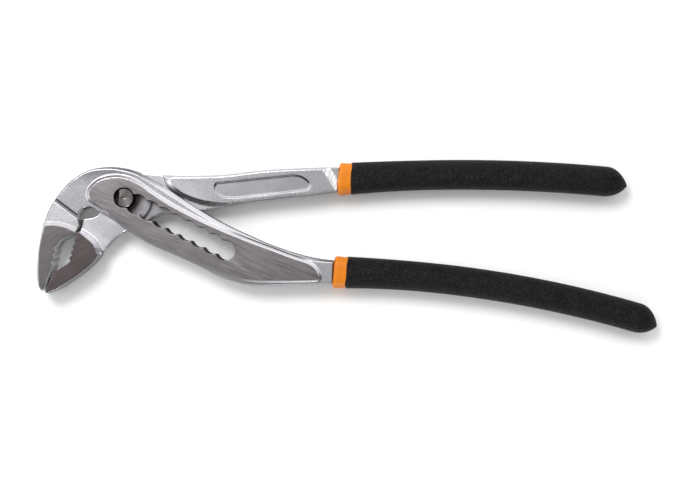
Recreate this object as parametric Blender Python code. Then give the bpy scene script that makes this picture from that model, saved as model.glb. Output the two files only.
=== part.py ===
# Adjustable slip joint pliers with a through joint, closed, lying flat.
# Metres, +Z up. The pivot axis is X = Y = 0, the jaws point to -X and the handles to +X.
# The surface that the pliers lie on is Z = 0, and both levers are alike on their two faces.

from math import acos, asin, ceil, cos, pi, radians, sin, sqrt, tan

import bmesh
import bpy
from mathutils import Vector

MM = 0.001

# Thicknesses, over both faces
OVERALL_THICKNESS = 11.0 * MM
BOX_PAD_HEIGHT = 0.8 * MM
JAW_PAD_HEIGHT = 0.6 * MM
CAVITY_GAP = 5.0 * MM
HUB_SIDE_CLEARANCE = 0.15 * MM
TONGUE_RELIEF = 0.5 * MM
UPPER_HANDLE_THICKNESS = 8.8 * MM
TANG_THICKNESS = 6.8 * MM

# The joint
POCKET_RADIUS = 4.0 * MM
POCKET_PITCH = 5.72 * MM
POCKET_COUNT = 9
SLOT_ANGLE = radians(-27.35)
SLOT_NECK_WIDTH = 6.1 * MM
PIN_RADIUS = 3.8 * MM
PIN_FLAT_DISTANCE = 1.95 * MM
PIN_FLAT_ANGLE = radians(175.0)
PIN_EDGE_BREAK = 0.3 * MM
PIN_DIMPLE_RADIUS = 0.6 * MM
PIN_DIMPLE_DEPTH = 0.35 * MM
PIN_DIMPLE_FLAT_RADIUS = 0.06 * MM
PIN_BORE_CLEARANCE = 0.12 * MM
HUB_RADIUS = 11.3 * MM
HUB_EDGE_WIDTH = 0.8 * MM
HUB_WALL_CLEARANCE = 0.35 * MM
CAVITY_OVERREACH = 20.9 * MM
FULL_SWING = radians(55.0)
HUB_START_ANGLE = radians(62.0)
HUB_NECK_ANGLE = radians(209.0)

# Reach of the head and the jaws from the pivot axis
JAW_REACH = 35.1 * MM
JAW_DROP = 38.3 * MM
HEAD_RISE = 12.5 * MM
BEAM_HALF_WIDTH = 11.0 * MM
NOTCH_RADIUS = 4.4 * MM
NOTCH_START_ANGLE = radians(200.0)
NOTCH_END_ANGLE = radians(35.0)

# The lower handle from the last pocket, and the upper one from the pivot axis
LOWER_TANG_RUN = 43.3 * MM
LOWER_TANG_DROP = 14.4 * MM
LOWER_GRIP_DROP = 8.85 * MM
LOWER_GRIP_LENGTH = 133.0 * MM
LOWER_GRIP_HEADING = radians(-0.8)
LOWER_GRIP_BEND_RADIUS = 460.0 * MM
UPPER_TANG_RUN = 85.9 * MM
UPPER_TANG_RISE = 12.4 * MM
UPPER_GRIP_RISE = 7.55 * MM
UPPER_GRIP_LENGTH = 116.8 * MM
UPPER_GRIP_HEADING = radians(4.5)
UPPER_GRIP_BEND_RADIUS = 631.0 * MM

# Teeth
COARSE_TOOTH_DEPTH = 0.75 * MM
COARSE_TOOTH_PITCH = 2.6 * MM
FINE_TOOTH_DEPTH = 0.4 * MM
FINE_TOOTH_PITCH = 1.1 * MM

# Chamfers, rims and small cuts
CHAMFER_WIDTH = 1.7 * MM
CHAMFER_HEIGHT = 1.0 * MM
PAD_RIM_WIDTH = 1.3 * MM
JAW_RIM_WIDTH = 1.7 * MM
HANDLE_RIM_WIDTH = 0.9 * MM
HANDLE_RIM_HEIGHT = 1.2 * MM
TANG_SLOPE_LENGTH = 3.6 * MM
PAD_MARGIN = 0.35 * MM
GROOVE_WIDTH = 1.3 * MM
GROOVE_DEPTH = 0.55 * MM
PANEL_DEPTH = 0.45 * MM
PANEL_CORNER_WIDTH = 0.35 * MM

# The dipped coats
GRIP_WIDTH = 12.0 * MM
COLLAR_WIDTH = 13.2 * MM
COLLAR_FLARE_LENGTH = 38.0 * MM
GRIP_CORNER_RADIUS = 4.6 * MM
GRIP_TIP_LENGTH = 9.0 * MM
GRIP_NIB_LENGTH = 0.9 * MM
GRIP_NIB_RADIUS = 0.45 * MM
GRIP_TIP_BLUNTNESS = 0.8
BLACK_WALL = 1.0 * MM
ORANGE_WALL = 0.8 * MM
COAT_GAP = 0.2 * MM
COLLAR_LENGTH = 5.1 * MM
COLLAR_EDGE_RADIUS = 0.7 * MM
LOWER_DIP_SLANT = radians(3.5)
UPPER_DIP_SLANT = radians(7.0)
DIP_SLANT_FADE_LENGTH = 16.0 * MM
CORE_ROOT_LENGTH = 9.0 * MM
CORE_MOUTH_GAP = 0.3 * MM

# How finely curves are cut into facets
CHORD_ERROR = 0.018 * MM
STATION_SPACING = 9.0 * MM
TIP_STATIONS = 6
CORNER_STEPS = 4
ROUND_STEPS = 48
CURVE_STEPS = 12
OVERRUN = 1.0 * MM
MITRE_LIMIT = 0.5
SHARP_ANGLE = radians(30.0)

# Worked out from the sizes above
HALF_THICKNESS = OVERALL_THICKNESS / 2
BOX_HALF = HALF_THICKNESS - BOX_PAD_HEIGHT
JAW_PAD_HALF = BOX_HALF + JAW_PAD_HEIGHT
CAVITY_HALF = CAVITY_GAP / 2
HUB_HALF = CAVITY_HALF - HUB_SIDE_CLEARANCE
TONGUE_HALF = HUB_HALF - TONGUE_RELIEF
HANDLE_HALF = UPPER_HANDLE_THICKNESS / 2
TANG_HALF = TANG_THICKNESS / 2
SLOT_LENGTH = (POCKET_COUNT - 1) * POCKET_PITCH
SLOT_ALONG = Vector((cos(SLOT_ANGLE), sin(SLOT_ANGLE)))
SLOT_ACROSS = Vector((-sin(SLOT_ANGLE), cos(SLOT_ANGLE)))
SLOT_END = SLOT_ALONG * SLOT_LENGTH
LOWER_GRIP_START = SLOT_END + Vector((LOWER_TANG_RUN, -LOWER_GRIP_DROP))
UPPER_GRIP_START = Vector((UPPER_TANG_RUN, UPPER_GRIP_RISE))
ORANGE_SKIN = BLACK_WALL + COAT_GAP
ORANGE_BORE = ORANGE_SKIN + ORANGE_WALL
CORE_SKIN = ORANGE_BORE + COAT_GAP
TANG_HALF_WIDTH = COLLAR_WIDTH / 2 - CORE_SKIN + COAT_GAP * 2
CAVITY_RADIUS = HUB_RADIUS + HUB_WALL_CLEARANCE
LEFT_PAD_INSET = PAD_MARGIN + CHAMFER_WIDTH / 5
LIP_DRAW_IN = BLACK_WALL / 3


# Places: each turns a pair of shares into a point

def head(x_share, y_share):
    """Around the pivot: shares of the jaws' reach and drop, or above it of the head's rise."""
    height = HEAD_RISE if y_share > 0 else JAW_DROP
    return Vector((x_share * JAW_REACH, y_share * height))


def beam(along_share, across_share):
    """Along the slot: shares of the slot's length and of the beam's half width."""
    return SLOT_ALONG * (along_share * SLOT_LENGTH) + SLOT_ACROSS * (across_share * BEAM_HALF_WIDTH)


def lower_tang(x_share, y_share):
    """From the last pocket to the lower collar: shares of the tang's run and drop."""
    return SLOT_END + Vector((x_share * LOWER_TANG_RUN, y_share * LOWER_TANG_DROP))


def upper_handle(x_share, y_share):
    """From the pivot to the upper collar: shares of the tang's run and rise."""
    return Vector((x_share * UPPER_TANG_RUN, y_share * UPPER_TANG_RISE))


def placed(place, shares, edge=0.0):
    """Outline points from a table of shares. A third number scales the width of the edge there."""
    points = []
    for row in shares:
        width = edge * (row[2] if len(row) > 2 else 1)
        spot = place(row[0], row[1])
        points.append(Vector((spot.x, spot.y, width)))
    return points


# Outlines: lists of points whose third number is the width of the sloped edge there

def thinned(points):
    """Drop the points that lie within the chord error of the line between their neighbours."""
    first, last = points[0], points[-1]
    chord = (last - first).xy
    length = chord.length
    worst, place = 0.0, 0
    for i in range(1, len(points) - 1):
        offset = (points[i] - first).xy
        gap = abs(chord.x * offset.y - chord.y * offset.x) / length if length else offset.length
        if gap > worst:
            worst, place = gap, i
    if worst <= CHORD_ERROR:
        return [first, last]
    return thinned(points[:place + 1])[:-1] + thinned(points[place:])


def smooth(points):
    """A centripetal curve through the points, cut into chords."""
    ends = [points[0] * 2 - points[1]] + list(points) + [points[-1] * 2 - points[-2]]
    curve = [points[0]]
    for i in range(len(points) - 1):
        a, b, c, d = ends[i:i + 4]
        t1 = sqrt((b - a).xy.length)
        t2 = t1 + sqrt((c - b).xy.length)
        t3 = t2 + sqrt((d - c).xy.length)
        for step in range(1, CURVE_STEPS + 1):
            t = t1 + (t2 - t1) * step / CURVE_STEPS
            ab = a.lerp(b, t / t1)
            bc = b.lerp(c, (t - t1) / (t2 - t1))
            cd = c.lerp(d, (t - t2) / (t3 - t2))
            abc = ab.lerp(bc, t / t2)
            bcd = bc.lerp(cd, (t - t1) / (t3 - t1))
            curve.append(abc.lerp(bcd, (t - t1) / (t2 - t1)))
    return thinned(curve)


def arc(centre, radius, start, end, edge=0.0):
    """An arc from one angle to another, with chords as long as the chord error allows."""
    turn = 2 * acos(max(0, 1 - CHORD_ERROR / radius))
    steps = max(2, ceil(abs(end - start) / turn))
    points = []
    for i in range(steps + 1):
        angle = start + (end - start) * i / steps
        points.append(Vector((centre.x + radius * cos(angle), centre.y + radius * sin(angle), edge)))
    return points


def joined(*runs):
    """One closed outline from runs of points, anticlockwise, without doubled points."""
    outline = []
    for run in runs:
        for point in run:
            if not outline or (point - outline[-1]).xy.length > CHORD_ERROR:
                outline.append(point)
    if (outline[0] - outline[-1]).xy.length <= CHORD_ERROR:
        outline.pop()
    area = 0.0
    for a, b in zip(outline, outline[1:] + outline[:1]):
        area += a.x * b.y - a.y * b.x
    return outline if area > 0 else outline[::-1]


def offset(outline, widths):
    """The outline moved inwards at each point by its own width, outwards where that is negative."""
    moved = []
    count = len(outline)
    for i, point in enumerate(outline):
        before = (point - outline[i - 1]).xy.normalized()
        after = (outline[(i + 1) % count] - point).xy.normalized()
        inward = Vector((-before.y - after.y, before.x + after.x))
        if inward.length:
            inward.normalize()
        lean = max(MITRE_LIMIT, inward.x * -after.y + inward.y * after.x)
        shift = inward * (widths[i] / lean)
        moved.append(Vector((point.x + shift.x, point.y + shift.y, point.z)))
    return moved


def edge_widths(outline):
    return [point.z for point in outline]


def toothed(start, end, pitch, depth):
    """A row of V teeth whose tips lie on the line from start to end and whose roots lie to its left."""
    run = (end - start).xy
    count = max(1, round(run.length / pitch))
    left = Vector((-run.y, run.x)).normalized() * depth
    points = []
    for i in range(count):
        tip = start.lerp(end, i / count)
        root = start.lerp(end, (i + 0.5) / count)
        points.append(tip)
        points.append(Vector((root.x + left.x, root.y + left.y, 0)))
    return points + [end]


# Solids

def finish(mesh, name, hidden=False):
    piece = bpy.data.objects.new(name, mesh)
    bpy.context.scene.collection.objects.link(piece)
    if hidden:
        piece.hide_render = True
        piece.display_type = "WIRE"
    return piece


def skin(name, rings, hidden=False):
    """A closed solid through rings of points, from the first ring's cap to the last one's."""
    shape = bmesh.new()
    rows = [[shape.verts.new(point) for point in ring] for ring in rings]
    count = len(rows[0])
    for low, high in zip(rows, rows[1:]):
        for i in range(count):
            shape.faces.new((low[i], low[(i + 1) % count], high[(i + 1) % count], high[i]))
    shape.faces.new(rows[0][::-1])
    shape.faces.new(rows[-1])
    bmesh.ops.recalc_face_normals(shape, faces=shape.faces)
    mesh = bpy.data.meshes.new(name)
    shape.to_mesh(mesh)
    shape.free()
    return finish(mesh, name, hidden)


def level(outline, z):
    return [Vector((point.x, point.y, z)) for point in outline]


def prism(name, outline, low, high, hidden=True):
    return skin(name, [level(outline, low), level(outline, high)], hidden)


def chamfered_plate(name, outline, half, drop, hidden=True):
    """A plate about Z = 0 whose faces are drawn in by the outline's own edge widths."""
    face = offset(outline, edge_widths(outline))
    wall = half - drop
    rings = [level(face, -half), level(outline, -wall), level(outline, wall), level(face, half)]
    return skin(name, rings, hidden)


def raised_pad(name, face, half, foot):
    """A plate about Z = 0 whose faces have the given outline and whose rims widen down to a foot."""
    base = offset(face, [-width for width in edge_widths(face)])
    rings = [level(face, -half), level(base, -foot), level(base, foot), level(face, half)]
    return skin(name, rings, True)


def cut(piece, tool, operation="DIFFERENCE"):
    modifier = piece.modifiers.new(tool.name, "BOOLEAN")
    modifier.operation = operation
    modifier.object = tool
    tool.parent = piece


# The bar and the coats of a handle, which share one centreline

class Centreline:
    """An arc from the collar to the handle's end, bending down to the right."""

    def __init__(self, start, heading, radius, length, slant):
        self.start = start
        self.heading = heading
        self.radius = radius
        self.length = length
        self.slant = slant

    def along(self, distance):
        angle = self.heading - distance / self.radius
        return Vector((cos(angle), sin(angle)))

    def point(self, distance):
        angle = self.heading - distance / self.radius
        x = self.start.x + self.radius * (sin(self.heading) - sin(angle))
        y = self.start.y + self.radius * (cos(angle) - cos(self.heading))
        return Vector((x, y))


def bar_half_width(distance):
    flare = max(0, 1 - max(0, distance) / COLLAR_FLARE_LENGTH)
    return (GRIP_WIDTH + (COLLAR_WIDTH - GRIP_WIDTH) * flare ** 2) / 2


def section_ring(line, distance, half_width, half_depth, corner):
    """A rounded rectangle across the centreline, slanted like the dip line near the collar."""
    spot = line.point(distance)
    along = line.along(distance)
    across = Vector((-along.y, along.x))
    fade = max(0, 1 - abs(distance) / DIP_SLANT_FADE_LENGTH)
    corner = min(corner, half_width, half_depth)
    ring = []
    for quarter in range(4):
        side_w = (1, -1, -1, 1)[quarter]
        side_d = (1, 1, -1, -1)[quarter]
        for step in range(CORNER_STEPS + 1):
            angle = (quarter + step / CORNER_STEPS) * pi / 2
            w = side_w * (half_width - corner) + corner * cos(angle)
            d = side_d * (half_depth - corner) + corner * sin(angle)
            lean = w * tan(line.slant) * fade
            place = spot + across * w + along * lean
            ring.append(Vector((place.x, place.y, d)))
    return ring


def coat_stations(line, begin, skin_depth):
    """Distances and size factors of a bar that lies skin_depth under the outermost coat."""
    round_start = line.length - GRIP_NIB_LENGTH - GRIP_TIP_LENGTH
    tip_length = GRIP_TIP_LENGTH - skin_depth
    count = ceil((round_start - begin) / STATION_SPACING)
    stations = [(begin + (round_start - begin) * i / count, 1.0) for i in range(count)]
    for i in range(TIP_STATIONS):
        angle = pi / 2 * i / TIP_STATIONS
        stations.append((round_start + tip_length * sin(angle), cos(angle) ** GRIP_TIP_BLUNTNESS))
    return stations


def coat_rings(line, begin, skin_depth, nib=False):
    """Rings of the surface that lies skin_depth under the outermost coat, from begin to its end."""
    rings = []
    for distance, factor in coat_stations(line, begin, skin_depth):
        half_width = (bar_half_width(distance) - skin_depth) * factor
        half_depth = (HALF_THICKNESS - skin_depth) * factor
        corner = (GRIP_CORNER_RADIUS - skin_depth) * factor
        rings.append(section_ring(line, distance, half_width, half_depth, corner))
    if nib:
        last = line.length
        rings.append(section_ring(line, last, GRIP_NIB_RADIUS, GRIP_NIB_RADIUS, GRIP_NIB_RADIUS))
    return rings


def cup(name, outside, inside):
    """A coat open at its first ring: outer rings, an end rim, and inner rings that go back in."""
    return skin(name, inside[::-1] + outside, False)


def collar_rings(line):
    """The bare front of the orange coat: a rounded lip, full width, then a step under the black."""
    rings = []
    for i in range(CORNER_STEPS + 1):
        angle = pi / 2 * i / CORNER_STEPS
        distance = COLLAR_EDGE_RADIUS * (1 - cos(angle))
        depth = COLLAR_EDGE_RADIUS * (1 - sin(angle))
        rings.append((distance, depth))
    rings.append((COLLAR_LENGTH - COAT_GAP, 0.0))
    surface = []
    for distance, depth in rings:
        half_width = bar_half_width(distance) - depth
        half_depth = HALF_THICKNESS - depth
        corner = GRIP_CORNER_RADIUS - depth
        surface.append(section_ring(line, distance, half_width, half_depth, corner))
    return surface


def grip_coats(name, line):
    """The orange coat on the bar, and the black coat over all of it but the collar."""
    orange_inside = coat_rings(line, 0, ORANGE_BORE)
    orange_outside = collar_rings(line) + coat_rings(line, COLLAR_LENGTH - COAT_GAP, ORANGE_SKIN)
    liner = cup(name + "_liner", orange_outside, orange_inside)
    black_inside = coat_rings(line, COLLAR_LENGTH, BLACK_WALL)
    lip = section_ring(line, COLLAR_LENGTH, *black_lip_size())
    black_outside = [lip] + coat_rings(line, COLLAR_LENGTH + COLLAR_EDGE_RADIUS, 0, nib=True)
    grip = cup(name, black_outside, black_inside)
    return liner, grip


def black_lip_size():
    width = bar_half_width(COLLAR_LENGTH) - LIP_DRAW_IN
    return width, HALF_THICKNESS - LIP_DRAW_IN, GRIP_CORNER_RADIUS - LIP_DRAW_IN


def core_bar(name, line):
    """The steel bar inside the coats, with a root that ends in the lever's own tang."""
    rings = coat_rings(line, CORE_MOUTH_GAP, CORE_SKIN)
    back = line.along(0) * (CORE_ROOT_LENGTH + CORE_MOUTH_GAP)
    root = [Vector((point.x - back.x, point.y - back.y, point.z)) for point in rings[0]]
    return skin(name, [root] + rings, True)


def collar_edge(line, side):
    """A point on the tang's edge in front of the collar: side is 1 above and -1 below."""
    along = line.along(0)
    across = Vector((-along.y, along.x))
    lean = side * TANG_HALF_WIDTH * tan(line.slant)
    return line.start + across * (side * TANG_HALF_WIDTH) + along * lean


# Box lever

JAW_BACK_SHARES = (
    (-0.983, -0.546, 0.2),
    (-0.995, -0.665, 0.2),
    (-1.0, -0.757, 0.2),
    (-0.995, -0.872, 0.2),
    (-0.980, -0.935, 0.2),
    (-0.955, -0.966, 0.2),
    (-0.920, -0.974, 0.2),
)
SHOULDER_SHARES = (
    (0.142, 0.848, 0.8),
    (-0.047, 0.976, 0.65),
    (-0.185, 1.0, 0.55),
    (-0.385, 0.912, 0.3),
    (-0.507, 0.752, 0.2),
    (-0.618, 0.536, 0.2),
    (-0.732, 0.190, 0.2),
    (-0.790, -0.010, 0.2),
    (-0.832, -0.070, 0.2),
    (-0.875, -0.146, 0.2),
    (-0.940, -0.337, 0.2),
)
HEAD_UNDERSIDE_SHARES = (
    (-0.162, -0.211, 0.2),
)
BEAM_UNDERSIDE_SHARES = (
    (0.143, -1.013, 0.2),
    (0.391, -1.080, 0.2),
    (0.630, -1.017, 0.2),
    (0.871, -0.965, 0.2),
    (1.068, -0.955, 0.2),
)
LOWER_TANG_UNDERSIDE_SHARES = (
    (0.142, -0.9375, 0.25),
    (0.233, -0.986, 0.3),
    (0.323, -1.0, 0.3),
    (0.604, -0.975, 0.3),
)
LOWER_TANG_TOP_SHARES = (
    (0.892, -0.245, 0.7),
    (0.785, -0.188, 0.8),
    (0.645, -0.076, 0.9),
)
BEAM_TOP_SHARES = (
    (1.334, 0.937, 1.0),
    (1.140, 0.878, 1.0),
    (0.895, 0.835, 1.0),
    (0.644, 0.874, 1.0),
    (0.279, 1.020, 0.95),
)
PAD_TOP_HEAD_SHARES = (
    (0.185, 0.392),
    (0.068, 0.564),
    (-0.047, 0.640),
    (-0.162, 0.632),
    (-0.276, 0.536),
    (-0.345, 0.390),
    (-0.395, 0.180),
    (-0.392, 0.0),
    (-0.350, -0.048, 0.5),
    (-0.276, -0.091, 0.45),
    (-0.162, -0.162, 0.45),
)
PAD_UNDERSIDE_SHARES = (
    (0.143, -0.860, 0.6),
    (0.391, -0.925, 0.7),
    (0.630, -0.860, 0.7),
    (0.871, -0.800, 0.7),
    (1.080, -0.720, 0.9),
)
PAD_TANG_UNDERSIDE_SHARES = (
    (0.176, -0.790, 0.9),
    (0.323, -0.833, 0.9),
    (0.600, -0.840, 0.7),
    (0.790, -0.838, 0.6),
    (0.840, -0.828, 0.6),
    (0.862, -0.785, 0.7),
)
PAD_TANG_TOP_SHARES = (
    (0.862, -0.700, 0.8),
    (0.842, -0.580, 0.9),
    (0.810, -0.465),
    (0.760, -0.375),
    (0.604, -0.215),
    (0.416, 0.0),
)
PAD_TOP_SHARES = (
    (1.166, 0.660),
    (0.928, 0.564),
    (0.688, 0.509),
    (0.441, 0.509),
    (0.341, 0.527),
    (0.182, 0.595),
)
LEFT_PAD_TOP_SHARES = (
    (-0.500, -0.365),
    (-0.598, -0.318),
    (-0.665, -0.292),
    (-0.760, -0.272),
    (-0.850, -0.268),
    (-0.915, -0.276),
)
COLLAR_CHAMFER_SHARES = (0.25, 0.5)
NOTCH_CHAMFER_SHARE = 0.15
NOTCH_CENTRE_SHARE = (-0.407, -0.209)
GROOVE_ENDS_SHARE = ((-0.800, -0.012), (-0.505, -0.215))


def notch_arc(edge=0.0):
    """The round end of the notch, from the jaws' contact face to the underside of the beam."""
    return arc(head(*NOTCH_CENTRE_SHARE), NOTCH_RADIUS, NOTCH_START_ANGLE, NOTCH_END_ANGLE, edge)


def lower_tang_edges(line):
    below = collar_edge(line, -1)
    above = collar_edge(line, 1)
    bottom = placed(lower_tang, LOWER_TANG_UNDERSIDE_SHARES, CHAMFER_WIDTH)
    top = placed(lower_tang, LOWER_TANG_TOP_SHARES, CHAMFER_WIDTH)
    bottom_end = Vector((below.x, below.y, CHAMFER_WIDTH * COLLAR_CHAMFER_SHARES[0]))
    top_end = Vector((above.x, above.y, CHAMFER_WIDTH * COLLAR_CHAMFER_SHARES[1]))
    return bottom + [bottom_end], [top_end] + top


def box_body_outline(line):
    bottom, top = lower_tang_edges(line)
    underside = notch_arc(CHAMFER_WIDTH * NOTCH_CHAMFER_SHARE)[-1:]
    underside += placed(head, HEAD_UNDERSIDE_SHARES, CHAMFER_WIDTH)
    underside += placed(beam, BEAM_UNDERSIDE_SHARES, CHAMFER_WIDTH) + bottom
    upper = top + placed(beam, BEAM_TOP_SHARES, CHAMFER_WIDTH)
    upper += placed(head, SHOULDER_SHARES + JAW_BACK_SHARES, CHAMFER_WIDTH)
    return joined(smooth(underside), smooth(upper))


def box_pad_face():
    lower = placed(beam, PAD_UNDERSIDE_SHARES, PAD_RIM_WIDTH)
    lower += placed(lower_tang, PAD_TANG_UNDERSIDE_SHARES, PAD_RIM_WIDTH)
    upper = placed(lower_tang, PAD_TANG_TOP_SHARES, PAD_RIM_WIDTH)
    upper += placed(beam, PAD_TOP_SHARES, PAD_RIM_WIDTH)
    upper += placed(head, PAD_TOP_HEAD_SHARES, PAD_RIM_WIDTH)
    return joined(smooth(lower + upper + lower[:1]))


def left_jaw_pad_face():
    back = placed(head, JAW_BACK_SHARES, CHAMFER_WIDTH)
    top = placed(head, LEFT_PAD_TOP_SHARES, PAD_RIM_WIDTH)
    tip = back[-1]
    shoulder = placed(head, SHOULDER_SHARES[-1:], CHAMFER_WIDTH)
    outline = joined(smooth(top), smooth(shoulder + back), [Vector((tip.x, tip.y, 0))])
    inner = offset(outline, [LEFT_PAD_INSET] * len(outline))
    face = []
    for point, width in zip(inner, edge_widths(outline)):
        face.append(Vector((point.x, point.y, min(width, PAD_RIM_WIDTH) if width else 0)))
    return face


def cavity_outline():
    """Where hub, tongue and neck move between the cheeks, open to both long edges of the beam."""
    stop_angle = pi / 2 + FULL_SWING - acos((HEAD_RISE - HUB_WALL_CLEARANCE * 4) / CAVITY_RADIUS)
    notch = head(*NOTCH_CENTRE_SHARE)
    reach = BEAM_HALF_WIDTH * 2
    wall = arc(Vector((0, 0)), CAVITY_RADIUS, stop_angle, HUB_NECK_ANGLE)
    stop = wall[0].xy + Vector((cos(FULL_SWING), sin(FULL_SWING))) * reach
    below = Vector((notch.x, notch.y - reach))
    end_low = SLOT_ALONG * (SLOT_LENGTH + CAVITY_OVERREACH) - SLOT_ACROSS * reach
    end_high = SLOT_ALONG * (SLOT_LENGTH + CAVITY_OVERREACH) + SLOT_ACROSS * reach
    corners = [Vector((spot.x, spot.y, 0)) for spot in (notch, below, end_low, end_high, stop)]
    return joined(wall, corners)


def slot_outline():
    """Round pockets in a row, their meeting cusps blunted to the width of the neck."""
    rise = asin(SLOT_NECK_WIDTH / 2 / POCKET_RADIUS)
    angle = SLOT_ANGLE
    points = arc(Vector((0, 0)), POCKET_RADIUS, angle + rise, angle + 2 * pi - rise)
    for i in range(1, POCKET_COUNT - 1):
        centre = SLOT_ALONG * (i * POCKET_PITCH)
        points += arc(centre, POCKET_RADIUS, angle + pi + rise, angle + 2 * pi - rise)
    points += arc(SLOT_END, POCKET_RADIUS, angle - pi + rise, angle + pi - rise)
    for i in range(POCKET_COUNT - 2, 0, -1):
        centre = SLOT_ALONG * (i * POCKET_PITCH)
        points += arc(centre, POCKET_RADIUS, angle + rise, angle + pi - rise)
    return joined(points)


LEFT_RECESS_FLANK_SHARES = ((-0.729, -0.449), (-0.655, -0.412), (-0.576, -0.387))
LEFT_CONTACT_SHARES = ((-0.576, -0.387), (-0.543, -0.345), (-0.517, -0.300))
LEFT_FINE_TIP_SHARE = (-0.915, -0.965)
LEFT_FINE_ROOT_SHARE = (-0.838, -0.773)
LEFT_COARSE_LOW_SHARE = (-0.815, -0.705)
LEFT_COARSE_HIGH_SHARE = (-0.762, -0.493)
LEFT_TIP_BELOW_SHARE = (-0.935, -1.040)
LEFT_FAR_SHARES = ((-0.240, -0.240), (-0.700, -1.060))


def flat(place, share):
    spot = place(*share)
    return Vector((spot.x, spot.y, 0))


def left_mouth_outline():
    """All that is cut away beside the left jaw: notch, contact face, toothed recess, fine teeth."""
    low = flat(head, LEFT_COARSE_LOW_SHARE)
    high = flat(head, LEFT_COARSE_HIGH_SHARE)
    fine_tip = flat(head, LEFT_FINE_TIP_SHARE)
    fine_root = flat(head, LEFT_FINE_ROOT_SHARE)
    fine = toothed(fine_tip, fine_root, FINE_TOOTH_PITCH, FINE_TOOTH_DEPTH)
    coarse = toothed(low, high, COARSE_TOOTH_PITCH, COARSE_TOOTH_DEPTH)
    flank = smooth(placed(head, LEFT_RECESS_FLANK_SHARES))
    contact = smooth(placed(head, LEFT_CONTACT_SHARES))
    far = placed(head, LEFT_FAR_SHARES)
    return joined([flat(head, LEFT_TIP_BELOW_SHARE)], fine, coarse, flank, contact, notch_arc(), far)


def groove(name, side):
    """A V groove across the shoulder, from its back to the notch."""
    start = head(*GROOVE_ENDS_SHARE[0])
    end = head(*GROOVE_ENDS_SHARE[1])
    run = (end - start).normalized()
    across = Vector((-run.y, run.x)) * (GROOVE_WIDTH / 2)
    start = start - run * OVERRUN * 2
    top = side * (BOX_HALF + GROOVE_DEPTH)
    root = side * (BOX_HALF - GROOVE_DEPTH)
    rings = []
    for spot in (start, end):
        corners = ((spot + across * 2, top), (spot, root), (spot - across * 2, top))
        rings.append([Vector((corner.x, corner.y, z)) for corner, z in corners])
    return skin(name, rings, True)


def build_box_lever(line):
    lever = chamfered_plate("box_lever", box_body_outline(line), BOX_HALF, CHAMFER_HEIGHT, hidden=False)
    cut(lever, raised_pad("cheek_pad", box_pad_face(), HALF_THICKNESS, BOX_HALF), "UNION")
    cut(lever, raised_pad("left_jaw_pad", left_jaw_pad_face(), JAW_PAD_HALF, BOX_HALF), "UNION")
    cut(lever, core_bar("lower_core", line), "UNION")
    tall = HALF_THICKNESS + OVERRUN
    cut(lever, prism("left_mouth", left_mouth_outline(), -tall, tall))
    cut(lever, prism("cavity", cavity_outline(), -CAVITY_HALF, CAVITY_HALF))
    cut(lever, prism("slot", slot_outline(), -tall, tall))
    cut(lever, groove("groove_above", 1))
    cut(lever, groove("groove_below", -1))
    return lever


# Through lever

NECK_UNDERSIDE_SHARES = (
    (-0.290, -0.560, 0.0),
    (-0.219, -0.520, 0.0),
    (-0.162, -0.457, 0.0),
    (-0.071, -0.384, 0.0),
    (0.023, -0.332, 0.0),
    (0.150, -0.285, 0.0),
    (0.251, -0.248, 0.0),
    (0.296, -0.217, 0.0),
    (0.356, -0.185, 0.0),
    (0.413, -0.165, 0.0),
    (0.470, -0.162, 0.0),
    (0.530, -0.172, 0.0),
)
TONGUE_UNDERSIDE_SHARES = (
    (0.353, -0.400, 0.0),
    (0.475, -0.240, 0.0),
    (0.530, 0.100, 0.0),
)
TONGUE_TOP_SHARES = (
    (0.400, 0.500, 0.0),
    (0.190, 0.740, 0.0),
    (0.120, 0.790, 0.0),
)
NECK_INSIDE_SHARES = (
    (-0.298, -0.160, 0.0),
    (-0.325, -0.183, 0.0),
    (-0.372, -0.205, 0.0),
    (-0.430, -0.217, 0.0),
    (-0.478, -0.220, 0.0),
)
NECK_CONTACT_SHARES = (
    (-0.478, -0.220, 0.0),
    (-0.492, -0.262, 0.0),
    (-0.513, -0.320, 0.0),
    (-0.549, -0.375, 0.0),
)
RIGHT_JAW_BACK_SHARES = (
    (-0.915, -0.975, 0.15),
    (-0.903, -0.990, 0.15),
    (-0.875, -1.0, 0.15),
    (-0.838, -0.986, 0.15),
    (-0.735, -0.943, 0.15),
    (-0.621, -0.877, 0.15),
    (-0.507, -0.804, 0.15),
    (-0.390, -0.715, 0.15),
    (-0.322, -0.653, 0.2),
    (-0.276, -0.600, 0.4),
)
RIGHT_RIM_SHARES = (
    (-0.270, -0.577, 1.0),
    (-0.288, -0.514, 1.0),
    (-0.333, -0.441, 1.0),
    (-0.413, -0.379, 1.0),
    (-0.480, -0.340, 0.8),
    (-0.560, -0.310, 0.8),
)
RIGHT_FINE_TIP_SHARE = (-0.902, -0.975)
RIGHT_FINE_ROOT_SHARE = (-0.820, -0.795)
RIGHT_COARSE_LOW_SHARE = (-0.645, -0.690)
RIGHT_COARSE_HIGH_SHARE = (-0.549, -0.375)
RIGHT_TIP_BELOW_SHARE = (-0.925, -1.060)
RIGHT_FAR_SHARES = ((-0.478, -0.220), (-0.600, -0.200), (-1.100, -0.900))
HANDLE_STEP_SHARES = (
    (0.178, 0.738, 1.8),
    (0.186, 0.520, 2.6),
    (0.207, 0.318, 2.4),
    (0.240, 0.150, 1.9),
    (0.277, 0.008, 1.7),
    (0.353, -0.195, 1.9),
    (0.423, -0.262, 1.7),
    (0.487, -0.240, 0.9),
)
HANDLE_UNDERSIDE_SHARES = (
    (0.585, -0.113, 0.4),
    (0.679, -0.040, 0.4),
    (0.771, 0.032, 0.4),
    (0.865, 0.089, 0.4),
)
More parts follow.
